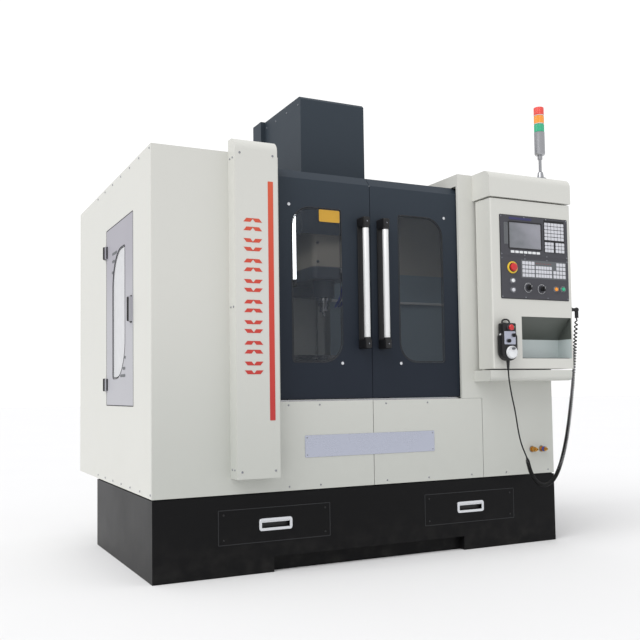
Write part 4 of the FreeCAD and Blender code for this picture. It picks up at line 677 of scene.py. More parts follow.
# %% Lead route
LEAD_ROUTE = [  # x, z and the distance in front of the booth, in millimetres
    (673, 902, 172), (675, 860, 172.5), (683, 812, 173), (693, 762, 173), (706, 712, 173),
    (716, 660, 172), (725, 608, 171), (737, 556, 170), (755, 508, 169), (778, 466, 168),
    (790, 426, 166), (808, 380, 163), (844, 334, 158), (896, 312, 151), (946, 320, 145),
    (990, 352, 138), (1026, 402, 132), (1056, 468, 128), (1082, 544, 125), (1104, 628, 122),
    (1122, 716, 120), (1138, 806, 120), (1150, 898, 120), (1160, 990, 120), (1169, 1076, 119),
    (1177, 1140, 118), (1184, 1184, 118),
]
FRONT = -0.565            # the booth's front plane
LEAD_DIAMETER = 0.007
CURL_RADIUS = 0.0075      # from the line of the curl to the middle of the lead
CURL_START = 0.448        # metres of plain lead before the first turn
TURN_STEPS = 14           # points on each turn
TIGHT_PITCH = 0.0084      # from one turn to the next where the curl is at rest


def spline_points(route):
    """The points of a NURBS line of order 3 with the route as its control points."""
    curve = bpy.data.curves.new("route", "CURVE")
    curve.dimensions = "3D"
    curve.resolution_u = 24
    spline = curve.splines.new("NURBS")
    spline.points.add(len(route) - 1)
    for point, (x, z, out) in zip(spline.points, route):
        point.co = (x / 1000, FRONT - out / 1000, z / 1000, 1)
    spline.order_u = 3
    spline.use_endpoint_u = True
    holder = bpy.data.objects.new("route", curve)
    mesh = bpy.data.meshes.new_from_object(holder)
    points = np.zeros(len(mesh.vertices) * 3)
    mesh.vertices.foreach_get("co", points)
    bpy.data.objects.remove(holder)
    bpy.data.curves.remove(curve)
    return points.reshape(-1, 3)


line = spline_points(LEAD_ROUTE)
run = np.concatenate(([0], np.cumsum(np.linalg.norm(np.diff(line, axis=0), axis=1))))
print("route", round(run[-1], 3), "m, lowest", round(line[:, 2].min(), 3))

# %% [markdown]
# The pitch grows from just over one lead thickness to a loose stretch at the top, so the number
# of turns up to a place is the sum of steps divided by the pitch there. Both ends of the curl
# shrink to the line within a couple of turns.

# %% Wound lead
def wound_lead(line, run):
    """Plain points before the curl; after it line + r (cos a n + sin a b), where n and b stand
    square to the line, a is 2 pi times the sum of steps over pitch, and r fades in and out."""
    def on_line(place):
        """The points of the line at these distances along it."""
        return np.stack([np.interp(place, run, line[:, axis]) for axis in range(3)], -1)

    along = np.arange(CURL_START, run[-1], 0.0004)
    share = (along - CURL_START) / (run[-1] - CURL_START)
    pitch = (TIGHT_PITCH + 0.0065 * np.clip((share - 0.42) / 0.35, 0, 1)
             + 0.009 * np.clip((share - 0.84) / 0.12, 0, 1))
    turns = np.concatenate(([0], np.cumsum(np.diff(along) / pitch[:-1])))
    wanted = np.arange(0, turns[-1], 1 / TURN_STEPS)
    place = np.interp(wanted, turns, along)
    forward = on_line(place + 0.002) - on_line(place - 0.002)
    forward /= np.linalg.norm(forward, axis=1, keepdims=True)
    normal = np.cross(forward, (0, 1, 0))
    normal /= np.linalg.norm(normal, axis=1, keepdims=True)
    binormal = np.cross(forward, normal)
    rise = np.clip((place - CURL_START) / 0.03, 0, 1) * np.clip((run[-1] - place) / 0.03, 0, 1)
    radius = CURL_RADIUS * (rise * rise * (3 - 2 * rise))[:, None]
    angle = (2 * np.pi * wanted)[:, None]
    around = np.cos(angle) * normal + np.sin(angle) * binormal
    straight = on_line(np.arange(0, CURL_START, 0.012))
    path = np.vstack((straight, on_line(place) + radius * around))
    reference = np.vstack((np.tile((0, 1, 0), (len(straight), 1)), around))
    return path, reference, wanted[-1]


lead_path, lead_reference, lead_turns = wound_lead(line, run)
lead_skin = carried(lead_path, disc_section(LEAD_DIAMETER / 2), lead_reference)
pendant_lead = piece("pendant_lead", [lead_skin], cord_rubber, "control", crease=80,
                     instead_of=("cord_straight", "cord_curly"))

# %% [markdown]
# ## Door pulls
# Each sliding door has a full-height pull: a black back strip, a black block at both ends and a
# pale tube between them. The back strip is painted shade: a dark sheet where the pull shades the
# door. The blocks are rounded plates, the tube is turned, with a collar where it enters the block,
# so the light runs down one clean highlight.

# %% Door pulls
DOOR_FACE = -0.543
PULL_LOW, PULL_HIGH = 1.012, 1.652
PULL_ASIDE = 0.055        # from the meeting line of the doors to the middle of a pull
PULL_BLOCK = 0.048        # height of an end block
PULL_PROUD = 0.072        # how far an end block stands off the door
GRIP_Y = -0.597


def bar(low, high, radius, edge, ease, x, y, steps=28):
    """An upright turned bar: its radius grows by edge over the height ease at each end."""
    thin = radius - edge
    profile = [(thin, low), (radius, low + ease), (radius, high - ease), (thin, high)]
    return turned_part(profile, (x, y, 0), "up", steps)


block_profile = [(0, 0.004), (0, 0.060), (0.0012, 0.066), (0.004, 0.070), (0.009, PULL_PROUD)]
pull_screw = [(0.0032, 0), (0.0032, 0.0012), (0.0022, 0.002), (0.0018, 0.0008)]
for side, name in ((-1, "left"), (1, "right")):
    x, door = side * PULL_ASIDE, f"{name}_door"
    ends = (PULL_LOW + PULL_BLOCK / 2, PULL_HIGH - PULL_BLOCK / 2)
    # The full-height back strip is painted shade: a black sheet where the pull shades the door.
    blocks = [plate(0.036, PULL_HIGH - PULL_LOW, 0.006, [(0, 0), (0, 0.0065), (0.0015, 0.008)],
                    (x, DOOR_FACE, (PULL_LOW + PULL_HIGH) / 2))]
    blocks += [plate(0.036, PULL_BLOCK, 0.007, block_profile, (x, DOOR_FACE, z), steps=6) for z in ends]
    blocks += [bar(z - 0.007, z + 0.007, 0.0178, 0.0013, 0.0015, x, GRIP_Y)
               for z in (PULL_LOW + PULL_BLOCK, PULL_HIGH - PULL_BLOCK)]
    piece(f"{name}_pull_ends_and_shade_strip", blocks, black_plastic, door,
          instead_of=(f"{name}_handle",))
    grip = bar(PULL_LOW + 0.046, PULL_HIGH - 0.046, 0.0150, 0.0010, 0.002, x, GRIP_Y, 40)
    piece(f"{name}_pull_grip", [grip], grip_metal, door)
    screws = [turned_part(pull_screw, (x, DOOR_FACE - PULL_PROUD, z), steps=12) for z in ends]
    piece(f"{name}_pull_screws", screws, zinc, door)

# %% [markdown]
# ## Window rubbers
# Every pane sits in a leaf-shaped hole: two opposite corners are swept round, the other two are
# nearly square. A black rubber profile grips the sheet all the way round. Its line is the hole's
# own outline, closed on itself, and the section is a flat lip with a soft bead.

# %% Window rubbers
def rim(width, height, radii, place, section, facing="front", steps=3, level=0.0, turn=1):
    """A section carried round a rounded rectangle. It rises outwards, or inwards with turn -1."""
    across, up, out = np.array(FACINGS[facing], float)
    flat = rounded_outline(width, height, radii, steps)
    line = np.array(place) + flat[:, :1] * across + flat[:, 1:] * up + level * out
    return carried(line, section, turn * out, looped=True)


def lip_section(wide, high, bead=0.0016):
    """A flat lip, wide across and high over, with its outer corners cut back by the bead."""
    half = wide / 2
    return [(-half, 0), (half, 0), (half, high - bead), (half - bead, high), (-half + bead, high),
            (-half, high - bead)]


SWEPT, SQUARE = 0.1, 0.014
SIDE_FACE = -1.100
PANE_LEVEL = -0.004       # the pane lies this far behind the sheet
WINDOWS = {  # centre, size, radii from the lower right round, rubber, facing
    "left": ((-0.2925, DOOR_FACE, 1.318), (0.265, 0.740), (SWEPT, SQUARE) * 2, rubber_slate, "front"),
    "right": ((0.2925, DOOR_FACE, 1.318), (0.265, 0.740), (SQUARE, SWEPT) * 2, rubber_slate, "front"),
    "side": ((SIDE_FACE, 0.050, 1.2105), (0.266, 0.645), (0.19, SQUARE) * 2, gasket_rubber, "left"),
}
for name, (place, (width, height), radii, rubber, facing) in WINDOWS.items():
    lip = rim(width, height, radii, place, lip_section(0.0035, 0.0014, 0.0005), facing, 14)
    bead = rim(width - 0.012, height - 0.012, np.array(radii) - 0.006, place, disc_section(0.0022, 8),
               facing, 14, PANE_LEVEL)
    piece(f"{name}_window_rubber", [lip, bead], rubber, f"{name}_door", looped=True, crease=50)

# %% [markdown]
# ## Chip drawers
# The drawer pull is a pressed cup behind a bright rim. The rim is a flat bar carried round the
# opening, and a dark liner inside is painted shade that makes the slot read as deep.

# %% Drawer pulls
DRAWER_FACE, DRAWER_MIDDLE = -0.566, 0.2145
for name, x in (("left", -0.530), ("right", 0.547)):
    middle, drawer = (x, DRAWER_FACE, DRAWER_MIDDLE), f"{name}_drawer"
    pull_rim = rim(0.150, 0.043, 0.006, middle, lip_section(0.013, 0.0028, 0.0008), steps=6)
    piece(f"{name}_pull_rim", [pull_rim], bright_trim, drawer, looped=True, crease=40)
    # Painted shade: the black liner darkens the inside of the cup.
    liner = plate(0.142, 0.036, 0.006, [(0.001, -0.0185), (0.001, -0.0175), (0.006, -0.0170)], middle)
    lip = plate(0.140, 0.010, 0.003, [(0, -0.010), (0, -0.0008), (0.001, 0.0)],
                (x, DRAWER_FACE, DRAWER_MIDDLE + 0.0135))
    piece(f"{name}_pull_shade_liner", [liner], black_plastic, drawer)
    piece(f"{name}_pull_lip", [lip], bright_trim, drawer)
    seal = rim(0.549, 0.152, 0.002, (x, DRAWER_FACE + 0.0005, DRAWER_MIDDLE),
               lip_section(0.004, 0.0016, 0.0004))
    piece(f"{name}_drawer_seal", [seal], gasket_rubber, drawer, looped=True)
    screws = [turned_part([(0.0045, 0), (0.0045, 0.0015), (0.003, 0.0028)],
                          (x + aside, DRAWER_FACE, DRAWER_MIDDLE + above), steps=12)
              for aside in (-0.25, 0.25) for above in (-0.055, 0.055)]
    piece(f"{name}_drawer_screws", screws, black_plastic, drawer)

# %% [markdown]
# ## Accent stripe and pattern
# The tall cover on the left carries the machine's only colour: a slim enamel stripe and a column
# of stencilled bars, fading from orange at the top to crimson at the foot. The fade is one ramp
# on height, and each bar is a thin film with a broken middle, as a stencil leaves.

# %% Stripe and stencil
COVER_FACE = -0.650
STRIPE_LOW, STRIPE_LONG = 0.684, 1.076


def enamel_fade(name):
    """Colour by height along the stripe, with a little unevenness of a hand-cut film."""
    finish = Finish(name, tone(208, 70, 50), 0.34, Coat_Weight=0.15)
    share = (finish.axes()[2] - 0.68) / 1.08 + 0.03 * (finish.noise(30, 3) - 0.5)
    stops = ((0.0, tone(178, 34, 34)), (0.5, tone(196, 56, 40)), (1.0, tone(206, 84, 52)))
    finish.feed(Base_Color=finish.ramp(share, *stops), Roughness=0.3 + 0.15 * finish.noise(16, 3))
    finish.bump(finish.noise(500, 2), 0.00003)
    return finish


enamel = enamel_fade("stripe_enamel")
SLOT_OF[enamel] = "red_plastic"
stripe_middle = (-0.575, COVER_FACE, STRIPE_LOW + STRIPE_LONG / 2)
stripe = slab_piece(0.026, STRIPE_LONG, 0.0009, stripe_middle, radius=0.003, soft=0.0003)
piece("accent_stripe", [stripe], enamel)


def stencil_bar(x, z, width, height, lean):
    """A parallelogram film: its upper edge is moved sideways by the lean."""
    corners = np.array([(-1, -1), (1, -1), (1, 1), (-1, 1)]) * (width / 2, height / 2)
    corners[:, 0] += lean * np.sign(corners[:, 1]) / 2
    across, up = x + corners[:, 0], z + corners[:, 1]
    return np.array([np.column_stack((across, np.full(4, COVER_FACE - level), up)) for level in (0, 0.0008)])


BAR_WIDE, BAR_HIGH, BAR_LEAN, BAR_APART = 0.033, 0.0170, 0.014, 0.0195
bars = []
for row, z in enumerate(np.linspace(0.918, 1.558, 8)):
    lean = BAR_LEAN if row % 2 else -BAR_LEAN
    for x, sign in ((-0.6830, 1), (-0.6410, -1)):
        bars += [stencil_bar(x, z + step, BAR_WIDE, BAR_HIGH, sign * lean)
                 for step in (-BAR_APART, BAR_APART)]
piece("accent_stencil", bars, enamel)

# %% [markdown]
# ## Plate, rivets and screws
# A brushed plate closes the middle of the sill. It stays bare. The booth is held together with
# plated button heads; each is turned with a small socket so that it catches the light.

# %% Plate and screws
FLANK, BACK = 1.100, 0.565
SCREW_LOW = 0.376


def button_head(place, facing="front", radius=0.005, steps=14):
    """A dome of radius r with a socket in its middle, its profile given in shares of r."""
    profile = radius * np.array([(1, 0), (1, 0.2), (0.8, 0.5), (0.45, 0.6), (0.42, 0.25)])
    return turned_part(profile, place, facing, steps)


SILL_PLATE = 0.0024       # its thickness
piece("sill_plate", [slab_piece(0.715, 0.102, SILL_PLATE, (-0.0215, FRONT, 0.556), radius=0.004)],
      brushed_plate)
rivets = [button_head((x, FRONT - SILL_PLATE, z), radius=0.0032)
          for x in (-0.368, 0.325) for z in (0.516, 0.596)]
piece("sill_plate_rivets", rivets, zinc)
cover_screws = [button_head((x, COVER_FACE, z)) for x in (-0.722, -0.563) for z in (0.462, 1.878)]
cover_screws += [button_head((-0.745, y, z), "left") for y in (-0.622, -0.590) for z in (0.47, 1.19, 1.86)]
piece("accent_screws", cover_screws, zinc)
sill_screws = [button_head((x, FRONT, z), radius=0.0042)
               for z, places in ((SCREW_LOW, (-0.46, -0.30, 0.06, 0.30, 0.56, 0.78, 1.06)),
                                 (0.748, (-0.46, -0.30, 0.06, 0.30))) for x in places]
piece("booth_screws", sill_screws, zinc)
side_screws = [button_head((side * FLANK, y, z), facing)
               for side, facing, top in ((-1, "left", 1.884), (1, "right", 1.908))
               for y in np.linspace(-0.54, 0.54, 7) for z in (SCREW_LOW, top)]
side_screws += [button_head((x, BACK, z), "back")
                for x in (-0.40, 0.0, 0.40, 0.8, 1.06) for z in (SCREW_LOW, 1.884)]
piece("side_screws", side_screws, zinc)

# %% [markdown]
# ## Display unit
# A moulded bezel holds the screen on the left and membrane keys on the right. The keys are many,
# so each is a rounded rectangle with only three levels. The screen is grey glass behind a thin
# frame, with a drift of tone and a slanting lighter patch that is a painted reflection.

# %% Display unit
PANEL_FACE = -0.709
SCREEN = (0.8275, 1.599)  # middle of the screen
BED = 0.0006              # thickness of the film that the display keys stand on


def on_panel(x, z, proud=0.0):
    """A place on the front of the operator panels."""
    return (x, PANEL_FACE - proud, z)


def key_grid(left, low, columns, rows, pitch, size, proud=0.0, skip=()):
    """Keys in a grid: column i and row j stand at left + (i + 1/2) pitch, low + (j + 1/2) pitch."""
    return [plate(*size, 0.0015, [(0, 0), (0, 0.0014), (0.0006, 0.0020)],
                  on_panel(left + (i + 0.5) * pitch[0], low + (j + 0.5) * pitch[1], proud), steps=2)
            for i in range(columns) for j in range(rows) if (i, j) not in skip]


def key_bed(x, z, width, height, thick=0.0010):
    """A thin dark film under a group of keys."""
    return slab_piece(width, height, thick, on_panel(x, z), radius=0.003, soft=0.0004)


def screen_glass():
    """Grey cloud plus a slanting lighter patch, a painted reflection on the glass."""
    finish = Finish("idle_screen", tone(128, 130, 136), 0.12, Specular_IOR_Level=0.6)
    x, y, z = finish.axes()
    cloud = finish.noise(9, 3, place=finish.stretched((1, 1, 1.6)))
    reflection_patch = ((x - 0.83) * 4 + (z - 1.6) * 3).fade(-0.7, 0.9)
    stops = ((0.2, tone(104, 108, 112)), (0.5, tone(136, 137, 144)), (0.8, tone(150, 150, 158)))
    finish.feed(Base_Color=finish.ramp(cloud * 0.5 + reflection_patch * 0.5, *stops),
                Roughness=0.10 + 0.08 * finish.noise(5, 4))
    return finish


strip = slab_piece(0.146, 0.012, 0.0012, on_panel(0.797, 1.6855), radius=0.001, soft=0.0004)
piece("display_strip", [strip], navy_plastic, "control")
screen = slab_piece(0.207, 0.132, 0.0016, on_panel(*SCREEN, -0.002), radius=0.003, soft=0.0005)
piece("display_glass", [screen], screen_glass(), "control")
display_frame = rim(0.213, 0.138, 0.004, on_panel(*SCREEN), lip_section(0.006, 0.0022, 0.0008), steps=4)
piece("display_frame", [display_frame], black_plastic, "control", looped=True)
slot_profile = [(0, 0), (0, 0.0008), (0.003, 0.0022), (0.006, 0.0022), (0.0075, 0.0008)]
card_slot = plate(0.026, 0.112, 0.004, slot_profile, on_panel(0.703, 1.606))
piece("display_slot", [card_slot], slot_plastic, "control")
key_beds = [key_bed(1.020, 1.6865, 0.138, 0.0085), key_bed(1.020, 1.6005, 0.140, 0.163, BED)]
piece("display_key_beds", key_beds, black_plastic, "control")
display_keys = key_grid(0.954, 1.585, 6, 5, (0.0220, 0.0188), (0.0192, 0.0160), BED)
for left in (0.955, 1.027):
    display_keys += key_grid(left, 1.521, 3, 3, (0.0203, 0.0183), (0.0178, 0.0158), BED)
piece("display_keys", display_keys, key_plastic, "control")
soft_keys = key_grid(0.729, 1.505, 7, 1, (0.0279, 0.0150), (0.0225, 0.0125))
piece("display_soft_keys", soft_keys, white_plastic, "control")

# %% [markdown]
# ## Operator panel
# Below the display: three groups of keys, a latching stop button on a yellow ring, four round
# buttons in bright bezels, and two rotary switches inside printed scales.

# %% Operator keys
KEYS_LOW, KEY_ROW, KEY_TALL = 1.384, 0.0212, 0.0172
groups = key_grid(0.802, KEYS_LOW, 4, 4, (0.0205, KEY_ROW), (0.0178, KEY_TALL))
groups += key_grid(0.890, KEYS_LOW, 6, 3, (0.0182, KEY_ROW), (0.0158, KEY_TALL))
groups += key_grid(1.007, KEYS_LOW, 4, 4, (0.0212, KEY_ROW), (0.0180, KEY_TALL), skip=((0, 3), (0, 2)))
piece("operator_keys", groups, key_plastic, "control")
piece("operator_key_bed", [key_bed(0.946, 1.4265, 0.300, 0.094, 0.0005)], slot_plastic, "control")
lamps = [turned_part([(0.0016, 0), (0.0016, 0.0008), (0.0008, 0.0013)], on_panel(x, 1.4585), steps=8)
         for x in np.linspace(0.896, 0.992, 8)]
piece("operator_lamps", lamps, red_plastic, "control")
panel_screws = [button_head(on_panel(x, z), radius=0.0034, steps=12)
                for x in (0.674, 0.822, 0.968, 1.104) for z in (1.279, 1.478, 1.498, 1.694)]
piece("panel_screws", panel_screws, zinc, "control")

# %% [markdown]
# A button's cap hides its stem, and it starts just above the panel by the length of its travel, so
# that a pushed button doesn't sink into the sheet.

# %% Buttons and switches
STOP_AT, FEED_AT, MODE_AT = (0.738, 1.430), (0.839, 1.330), (0.927, 1.326)
BUTTONS = {  # place, finish, slot
    "white_button": ((0.736, 1.362), white_plastic, "white_plastic"),
    "grey_button": ((0.737, 1.314), key_plastic, "grey_plastic"),
    "orange_button": ((1.020, 1.328), amber_lens, "orange_plastic"),
    "green_button": ((1.068, 1.330), green_lens, "green_plastic"),
}


def bezel_ring(place, inner, outer, high, facing="front"):
    """A closed ring: its section goes up the outside, over the top and down the inside."""
    profile = [(outer, 0), (outer, high * 0.6), (outer - 0.001, high), (inner + 0.0008, high),
               (inner, high * 0.8), (inner, 0)]
    return turned_part(profile, place, facing, 32)


stop_ring = bezel_ring(on_panel(*STOP_AT), 0.0235, 0.0310, 0.0065)
piece("stop_ring", [stop_ring], yellow_plastic, "control", looped=True)
rings = [bezel_ring(on_panel(*at), 0.0133, 0.0155, 0.0078) for at, _, _ in BUTTONS.values()]
piece("button_bezels", rings, bright_trim, "control", looped=True)
mushroom = [(0.0115, -0.004), (0.0120, 0.0080), (0.0190, 0.0090), (0.0208, 0.0110), (0.0208, 0.0150),
            (0.0195, 0.0190), (0.0160, 0.0218), (0.0110, 0.0235), (0.0050, 0.0240)]
piece("stop_mushroom", [turned_part(mushroom, on_panel(*STOP_AT), steps=40)], red_plastic, "emergency_stop",
      instead_of=("emergency_stop",))
cap = [(0.0058, -0.006), (0.0058, 0.0046), (0.0098, 0.0047), (0.0098, 0.0092), (0.0090, 0.0106),
       (0.0060, 0.0114), (0.0030, 0.0116)]
for name, (at, finish, slot) in BUTTONS.items():
    piece(f"{name}_cap", [turned_part(cap, on_panel(*at))], finish, name, instead_of=(name,))


def scale_marks(place, radius, start, stop, count, length=0.004, wide=0.0009):
    """Short bars on a circle: bar k points outwards at angle start + k (stop - start) / (count - 1)."""
    x, y, z = place
    angle = np.radians(np.linspace(start, stop, count))
    outward = np.stack((np.sin(angle), np.cos(angle)), -1)
    sideways = np.stack((np.cos(angle), -np.sin(angle)), -1)
    corners = [outward * (radius + r) + sideways * s
               for r, s in ((0, -wide / 2), (0, wide / 2), (length, wide / 2), (length, -wide / 2))]
    across, up = np.moveaxis(np.stack(corners, 1), -1, 0)
    return list(np.stack([np.stack((x + across, np.full(across.shape, y - level), z + up), -1)
                          for level in (0, 0.0005)], 1))


marks = scale_marks(on_panel(*FEED_AT), 0.0185, -130, 130, 14)
marks += scale_marks(on_panel(*MODE_AT), 0.0185, -90, 90, 7)
piece("dial_marks", marks, white_plastic, "control")
dial_rings = [bezel_ring(on_panel(*at), 0.0238, 0.0248, 0.0006) for at in (MODE_AT, FEED_AT)]
piece("dial_ring", dial_rings, white_plastic, "control", looped=True)
knob_profile = [(0.0060, 0), (0.0130, 0.0063), (0.0134, 0.0085), (0.0122, 0.0150), (0.0112, 0.0160)]
for name, (x, z) in (("feed_selector", FEED_AT), ("mode_selector", MODE_AT)):
    knob = [turned_part(knob_profile, on_panel(x, z), steps=32),
            plate(0.0085, 0.0250, 0.003, [(0, 0.014), (0, 0.0262), (0.001, 0.028)], on_panel(x, z))]
    piece(f"{name}_knob", knob, black_plastic, name, instead_of=(name,))
    pointer = plate(0.0014, 0.0110, 0.0005, [(0, 0.0275), (0, 0.0284)], on_panel(x, z + 0.005), steps=2)
    piece(f"{name}_pointer", [pointer], white_plastic, name)

# %% [markdown]
# ## Hand pendant
# The pendant is a palm-sized black box, narrower above its waist and round at the foot, with a
# loop to hang it by. Its face has a bright plate with two small switches, a stop button and a
# hand wheel with a crank knob. The body is one outline carried through its depth.

# %% Pendant body
PENDANT = (0.672, -0.7163, 1.045)
PENDANT_DEEP = 0.042


def offset_outline(outline, inset):
    """Each point moved inwards, square to the line between its neighbours."""
    ahead = np.roll(outline, -1, 0) - np.roll(outline, 1, 0)
    inwards = np.stack((-ahead[:, 1], ahead[:, 0]), -1)
    return outline + inset * inwards / np.linalg.norm(inwards, axis=1, keepdims=True)


def shaped(outline, profile, place, facing="front"):
    """Any outline carried outwards: for each (inset, level) of the profile, one ring."""
    across, up, out = np.array(FACINGS[facing], float)
    flat = np.array([offset_outline(outline, inset) for inset, _ in profile])
    level = np.array([level for _, level in profile])[:, None, None]
    return np.array(place) + flat[..., :1] * across + flat[..., 1:] * up + level * out


def pendant_outline():
    """Half a circle for the foot, straight flanks, an S-shaped waist and two small corners."""
    foot = np.linspace(-np.pi, 0, 22)
    flank = np.stack((0.049 * np.cos(foot), -0.049 + 0.046 * np.sin(foot)), -1)
    s = np.linspace(0, 1, 7)
    waist = np.stack((0.049 - 0.007 * (3 * s**2 - 2 * s**3), 0.028 + 0.014 * s), -1)
    corner = np.linspace(0, np.pi / 2, 5)
    top = np.stack((0.034 + 0.008 * np.cos(corner), 0.086 + 0.009 * np.sin(corner)), -1)
    right_half = np.vstack((waist, top))
    return np.vstack((flank, right_half, right_half[::-1] * (-1, 1)))


case_profile = [(0.005, 0), (0.001, 0.003), (0, 0.007), (0, 0.0185), (0.0008, 0.0190), (0.0008, 0.0205),
                (0, 0.0210), (0, 0.036), (0.001, 0.040), (0.005, PENDANT_DEEP)]
case = shaped(pendant_outline(), case_profile, PENDANT)
piece("pendant_shell", [case], black_plastic, "control", instead_of=("pendant_case",),
      crease=40)
arch = np.linspace(0, np.pi, 17)
loop_across = np.concatenate(([-0.023], -0.023 * np.cos(arch), [0.023]))
loop_up = np.concatenate(([0], 0.010 + 0.014 * np.sin(arch), [0]))
loop_path = np.column_stack((PENDANT[0] + loop_across, np.full(len(arch) + 2, -0.727), 1.136 + loop_up))
piece("pendant_loop", [carried(loop_path, disc_section(0.0042), (0, 1, 0))], black_plastic, "control")

# %% [markdown]
# On the face of the pendant, everything rises from one plane: a plate, the stop button in its
# ring, a lamp, and two small knobs inside their marks.

# %% Pendant switches
FACE = PENDANT[1] - PENDANT_DEEP
PENDANT_STOP = (PENDANT[0], FACE, 1.1165)
AXIS_KNOB, SCALE_KNOB = (0.696, FACE, 1.078), (0.664, FACE, 1.050)
face_plate = slab_piece(0.070, 0.066, 0.0010, (PENDANT[0], FACE, 1.065), radius=0.004, soft=0.0004)
piece("pendant_plate", [face_plate], brushed_plate, "control")
stop_head = [(0.0080, 0.0043), (0.0080, 0.0085), (0.0140, 0.0095), (0.0152, 0.0120), (0.0148, 0.0160),
             (0.0120, 0.0190), (0.0060, 0.0200)]
piece("pendant_stop_head", [turned_part(stop_head, PENDANT_STOP, steps=32)], red_plastic, "pendant_stop",
      instead_of=("pendant_stop",))
stop_bezel = bezel_ring(PENDANT_STOP, 0.0090, 0.0165, 0.0045)
piece("pendant_stop_ring", [stop_bezel], bezel_plastic, "control", looped=True)
lamp_lens = turned_part([(0.0030, 0), (0.0030, 0.0012), (0.0016, 0.002)], (0.7005, FACE, 1.1205), steps=12)
piece("pendant_lamp", [lamp_lens], green_lens, "control")
small_knob = [(0.0092, 0.0034), (0.0098, 0.0046), (0.0088, 0.0100), (0.0080, 0.0106)]
for name, place in (("pendant_axis_knob", AXIS_KNOB), ("pendant_scale_knob", SCALE_KNOB)):
    turn = [turned_part(small_knob, place, steps=24),
            plate(0.0056, 0.0180, 0.002, [(0, 0.0095), (0, 0.0142), (0.0006, 0.0150)], place)]
    piece(f"{name}_cap", turn, black_plastic, name, instead_of=(name,))
marks = [mark for (x, y, z), reach, count in ((AXIS_KNOB, 75, 5), (SCALE_KNOB, 45, 3))
         for mark in scale_marks((x, y - 0.001, z), 0.0112, -reach, reach, count, 0.0022, 0.0007)]
piece("pendant_scale_marks", marks, black_plastic, "control")
half_deep = PENDANT[1] - PENDANT_DEEP / 2
buttons = [plate(0.008, 0.018, 0.003, [(0, 0), (0, 0.003), (0.001, 0.004)], (x, half_deep, 1.078), facing)
           for x, facing in ((0.6300, "left"), (0.7140, "right"))]
piece("pendant_buttons", buttons, white_plastic, "control")

# %% [markdown]
# The hand wheel is one turned profile with a shallow dish in its face. The crank stands in the
# dish, and fifty marks run round the rim.

# %% Pendant wheel
WHEEL = (0.675, FACE, 0.992)
wheel_rim = [(0.0050, 0.0034), (0.0300, 0.0036), (0.0318, 0.0050), (0.0318, 0.0140), (0.0304, 0.0165),
             (0.0270, 0.0172), (0.0255, 0.0160), (0.0235, 0.0158), (0.0100, 0.0166)]
crank_profile = [(0.0046, 0.0150), (0.0060, 0.0185), (0.0062, 0.0290), (0.0050, 0.0330), (0.0030, 0.0340)]
piece("hand_wheel", [turned_part(wheel_rim, WHEEL, steps=56)], white_plastic, "pendant_wheel",
      instead_of=("pendant_wheel",))
crank = turned_part(crank_profile, (WHEEL[0], FACE, 1.010), steps=24)
piece("hand_wheel_crank", [crank], slot_plastic, "pendant_wheel")
wheel_marks = scale_marks((WHEEL[0], FACE - 0.0168, WHEEL[2]), 0.0262, 0, 352.8, 50, 0.0030, 0.0006)
piece("hand_wheel_scale", wheel_marks, black_plastic, "pendant_wheel")

# %% [markdown]
# ## Signal tower
# Three ribbed lenses stand on a turned post. Real lenses are moulded with fine vertical flutes
# that spread the lamp's light, so the radius of each ring wavers with the angle.

# %% Signal tower
def fluted(profile, place, flutes, depth, steps):
    """r (1 + depth cos(flutes a)) in place of a plain radius."""
    rings = turned_part(profile, (0, 0, 0), "up", steps)
    angle = np.linspace(0, 2 * np.pi, steps, endpoint=False)
    scale = 1 + depth * np.cos(flutes * angle)[None, :, None] * np.array((1, 1, 0))
    return rings * scale + np.array(place)


TOWER = (1.005, -0.635)
LAMPS = {"green": (2.184, green_lens), "amber": (2.230, amber_lens), "red": (2.276, red_lens)}
for name, (low, finish) in LAMPS.items():
    profile = [(0.0240, low + 0.001), (0.0262, low + 0.003), (0.0262, low + 0.041)]
    if name == "red":
        profile += [(0.0250, low + 0.0435), (0.0200, low + 0.0455), (0.0100, low + 0.0460)]
    else:
        profile.append((0.0240, low + 0.044))
    stands_for = ("stack_light_lenses",) if name == "green" else ()
    lamp_shape = fluted(profile, (*TOWER, 0), 24, 0.022, 96)
    piece(f"{name}_lamp", [lamp_shape], finish, instead_of=stands_for)
collars = [bar(z - 0.0012, z + 0.0016, 0.0270, 0.0040, 0.0002, *TOWER) for z in (2.230, 2.276)]
piece("lamp_collars", collars, white_plastic)

# %% [markdown]
# ## Side door fittings
# The access door on the left flank hangs on two black hinges and closes with a long pull. Near
# the two swept corners of its pane, short slots let air through the pan. They are small dark
# shells laid on the sheet, with a rim; their darkness is painted shade, so they read as pressed
# slots from any side.

# %% Side door
HINGE = (-1.109, 0.333)   # x and y of the hinge axis
HINGE_LEVELS = (0.860, 1.551)
leaf_profile = [(0, 0), (0, 0.0055), (0.0015, 0.007)]
for side, body, aside in (("door", "side_door", -0.021), ("booth", "frame", 0.021)):
    y = HINGE[1] + aside
    leaves = [plate(0.024, 0.062, 0.003, leaf_profile, (SIDE_FACE, y, z), "left") for z in HINGE_LEVELS]
    piece(f"side_hinge_{side}_leaves", leaves, black_plastic, body)
    screws = [button_head((SIDE_FACE - 0.007, y, z + step), "left", 0.0035, 10)
              for z in HINGE_LEVELS for step in (-0.018, 0.018)]
    piece(f"side_hinge_{side}_screws", screws, zinc, body)
sleeves = [bar(z - 0.0330, z + 0.0330, 0.0094, 0.0024, 0.0015, *HINGE) for z in HINGE_LEVELS]
piece("side_hinge_sleeves", sleeves, black_plastic, "side_door")
pull_at = (SIDE_FACE, -0.208, 1.208)
side_pull = [plate(0.026, 0.128, 0.005, [(0, 0), (0, 0.004), (0.002, 0.006)], pull_at, "left"),
             plate(0.015, 0.116, 0.006, [(0, 0.004), (0, 0.017), (0.003, 0.021)], pull_at, "left")]
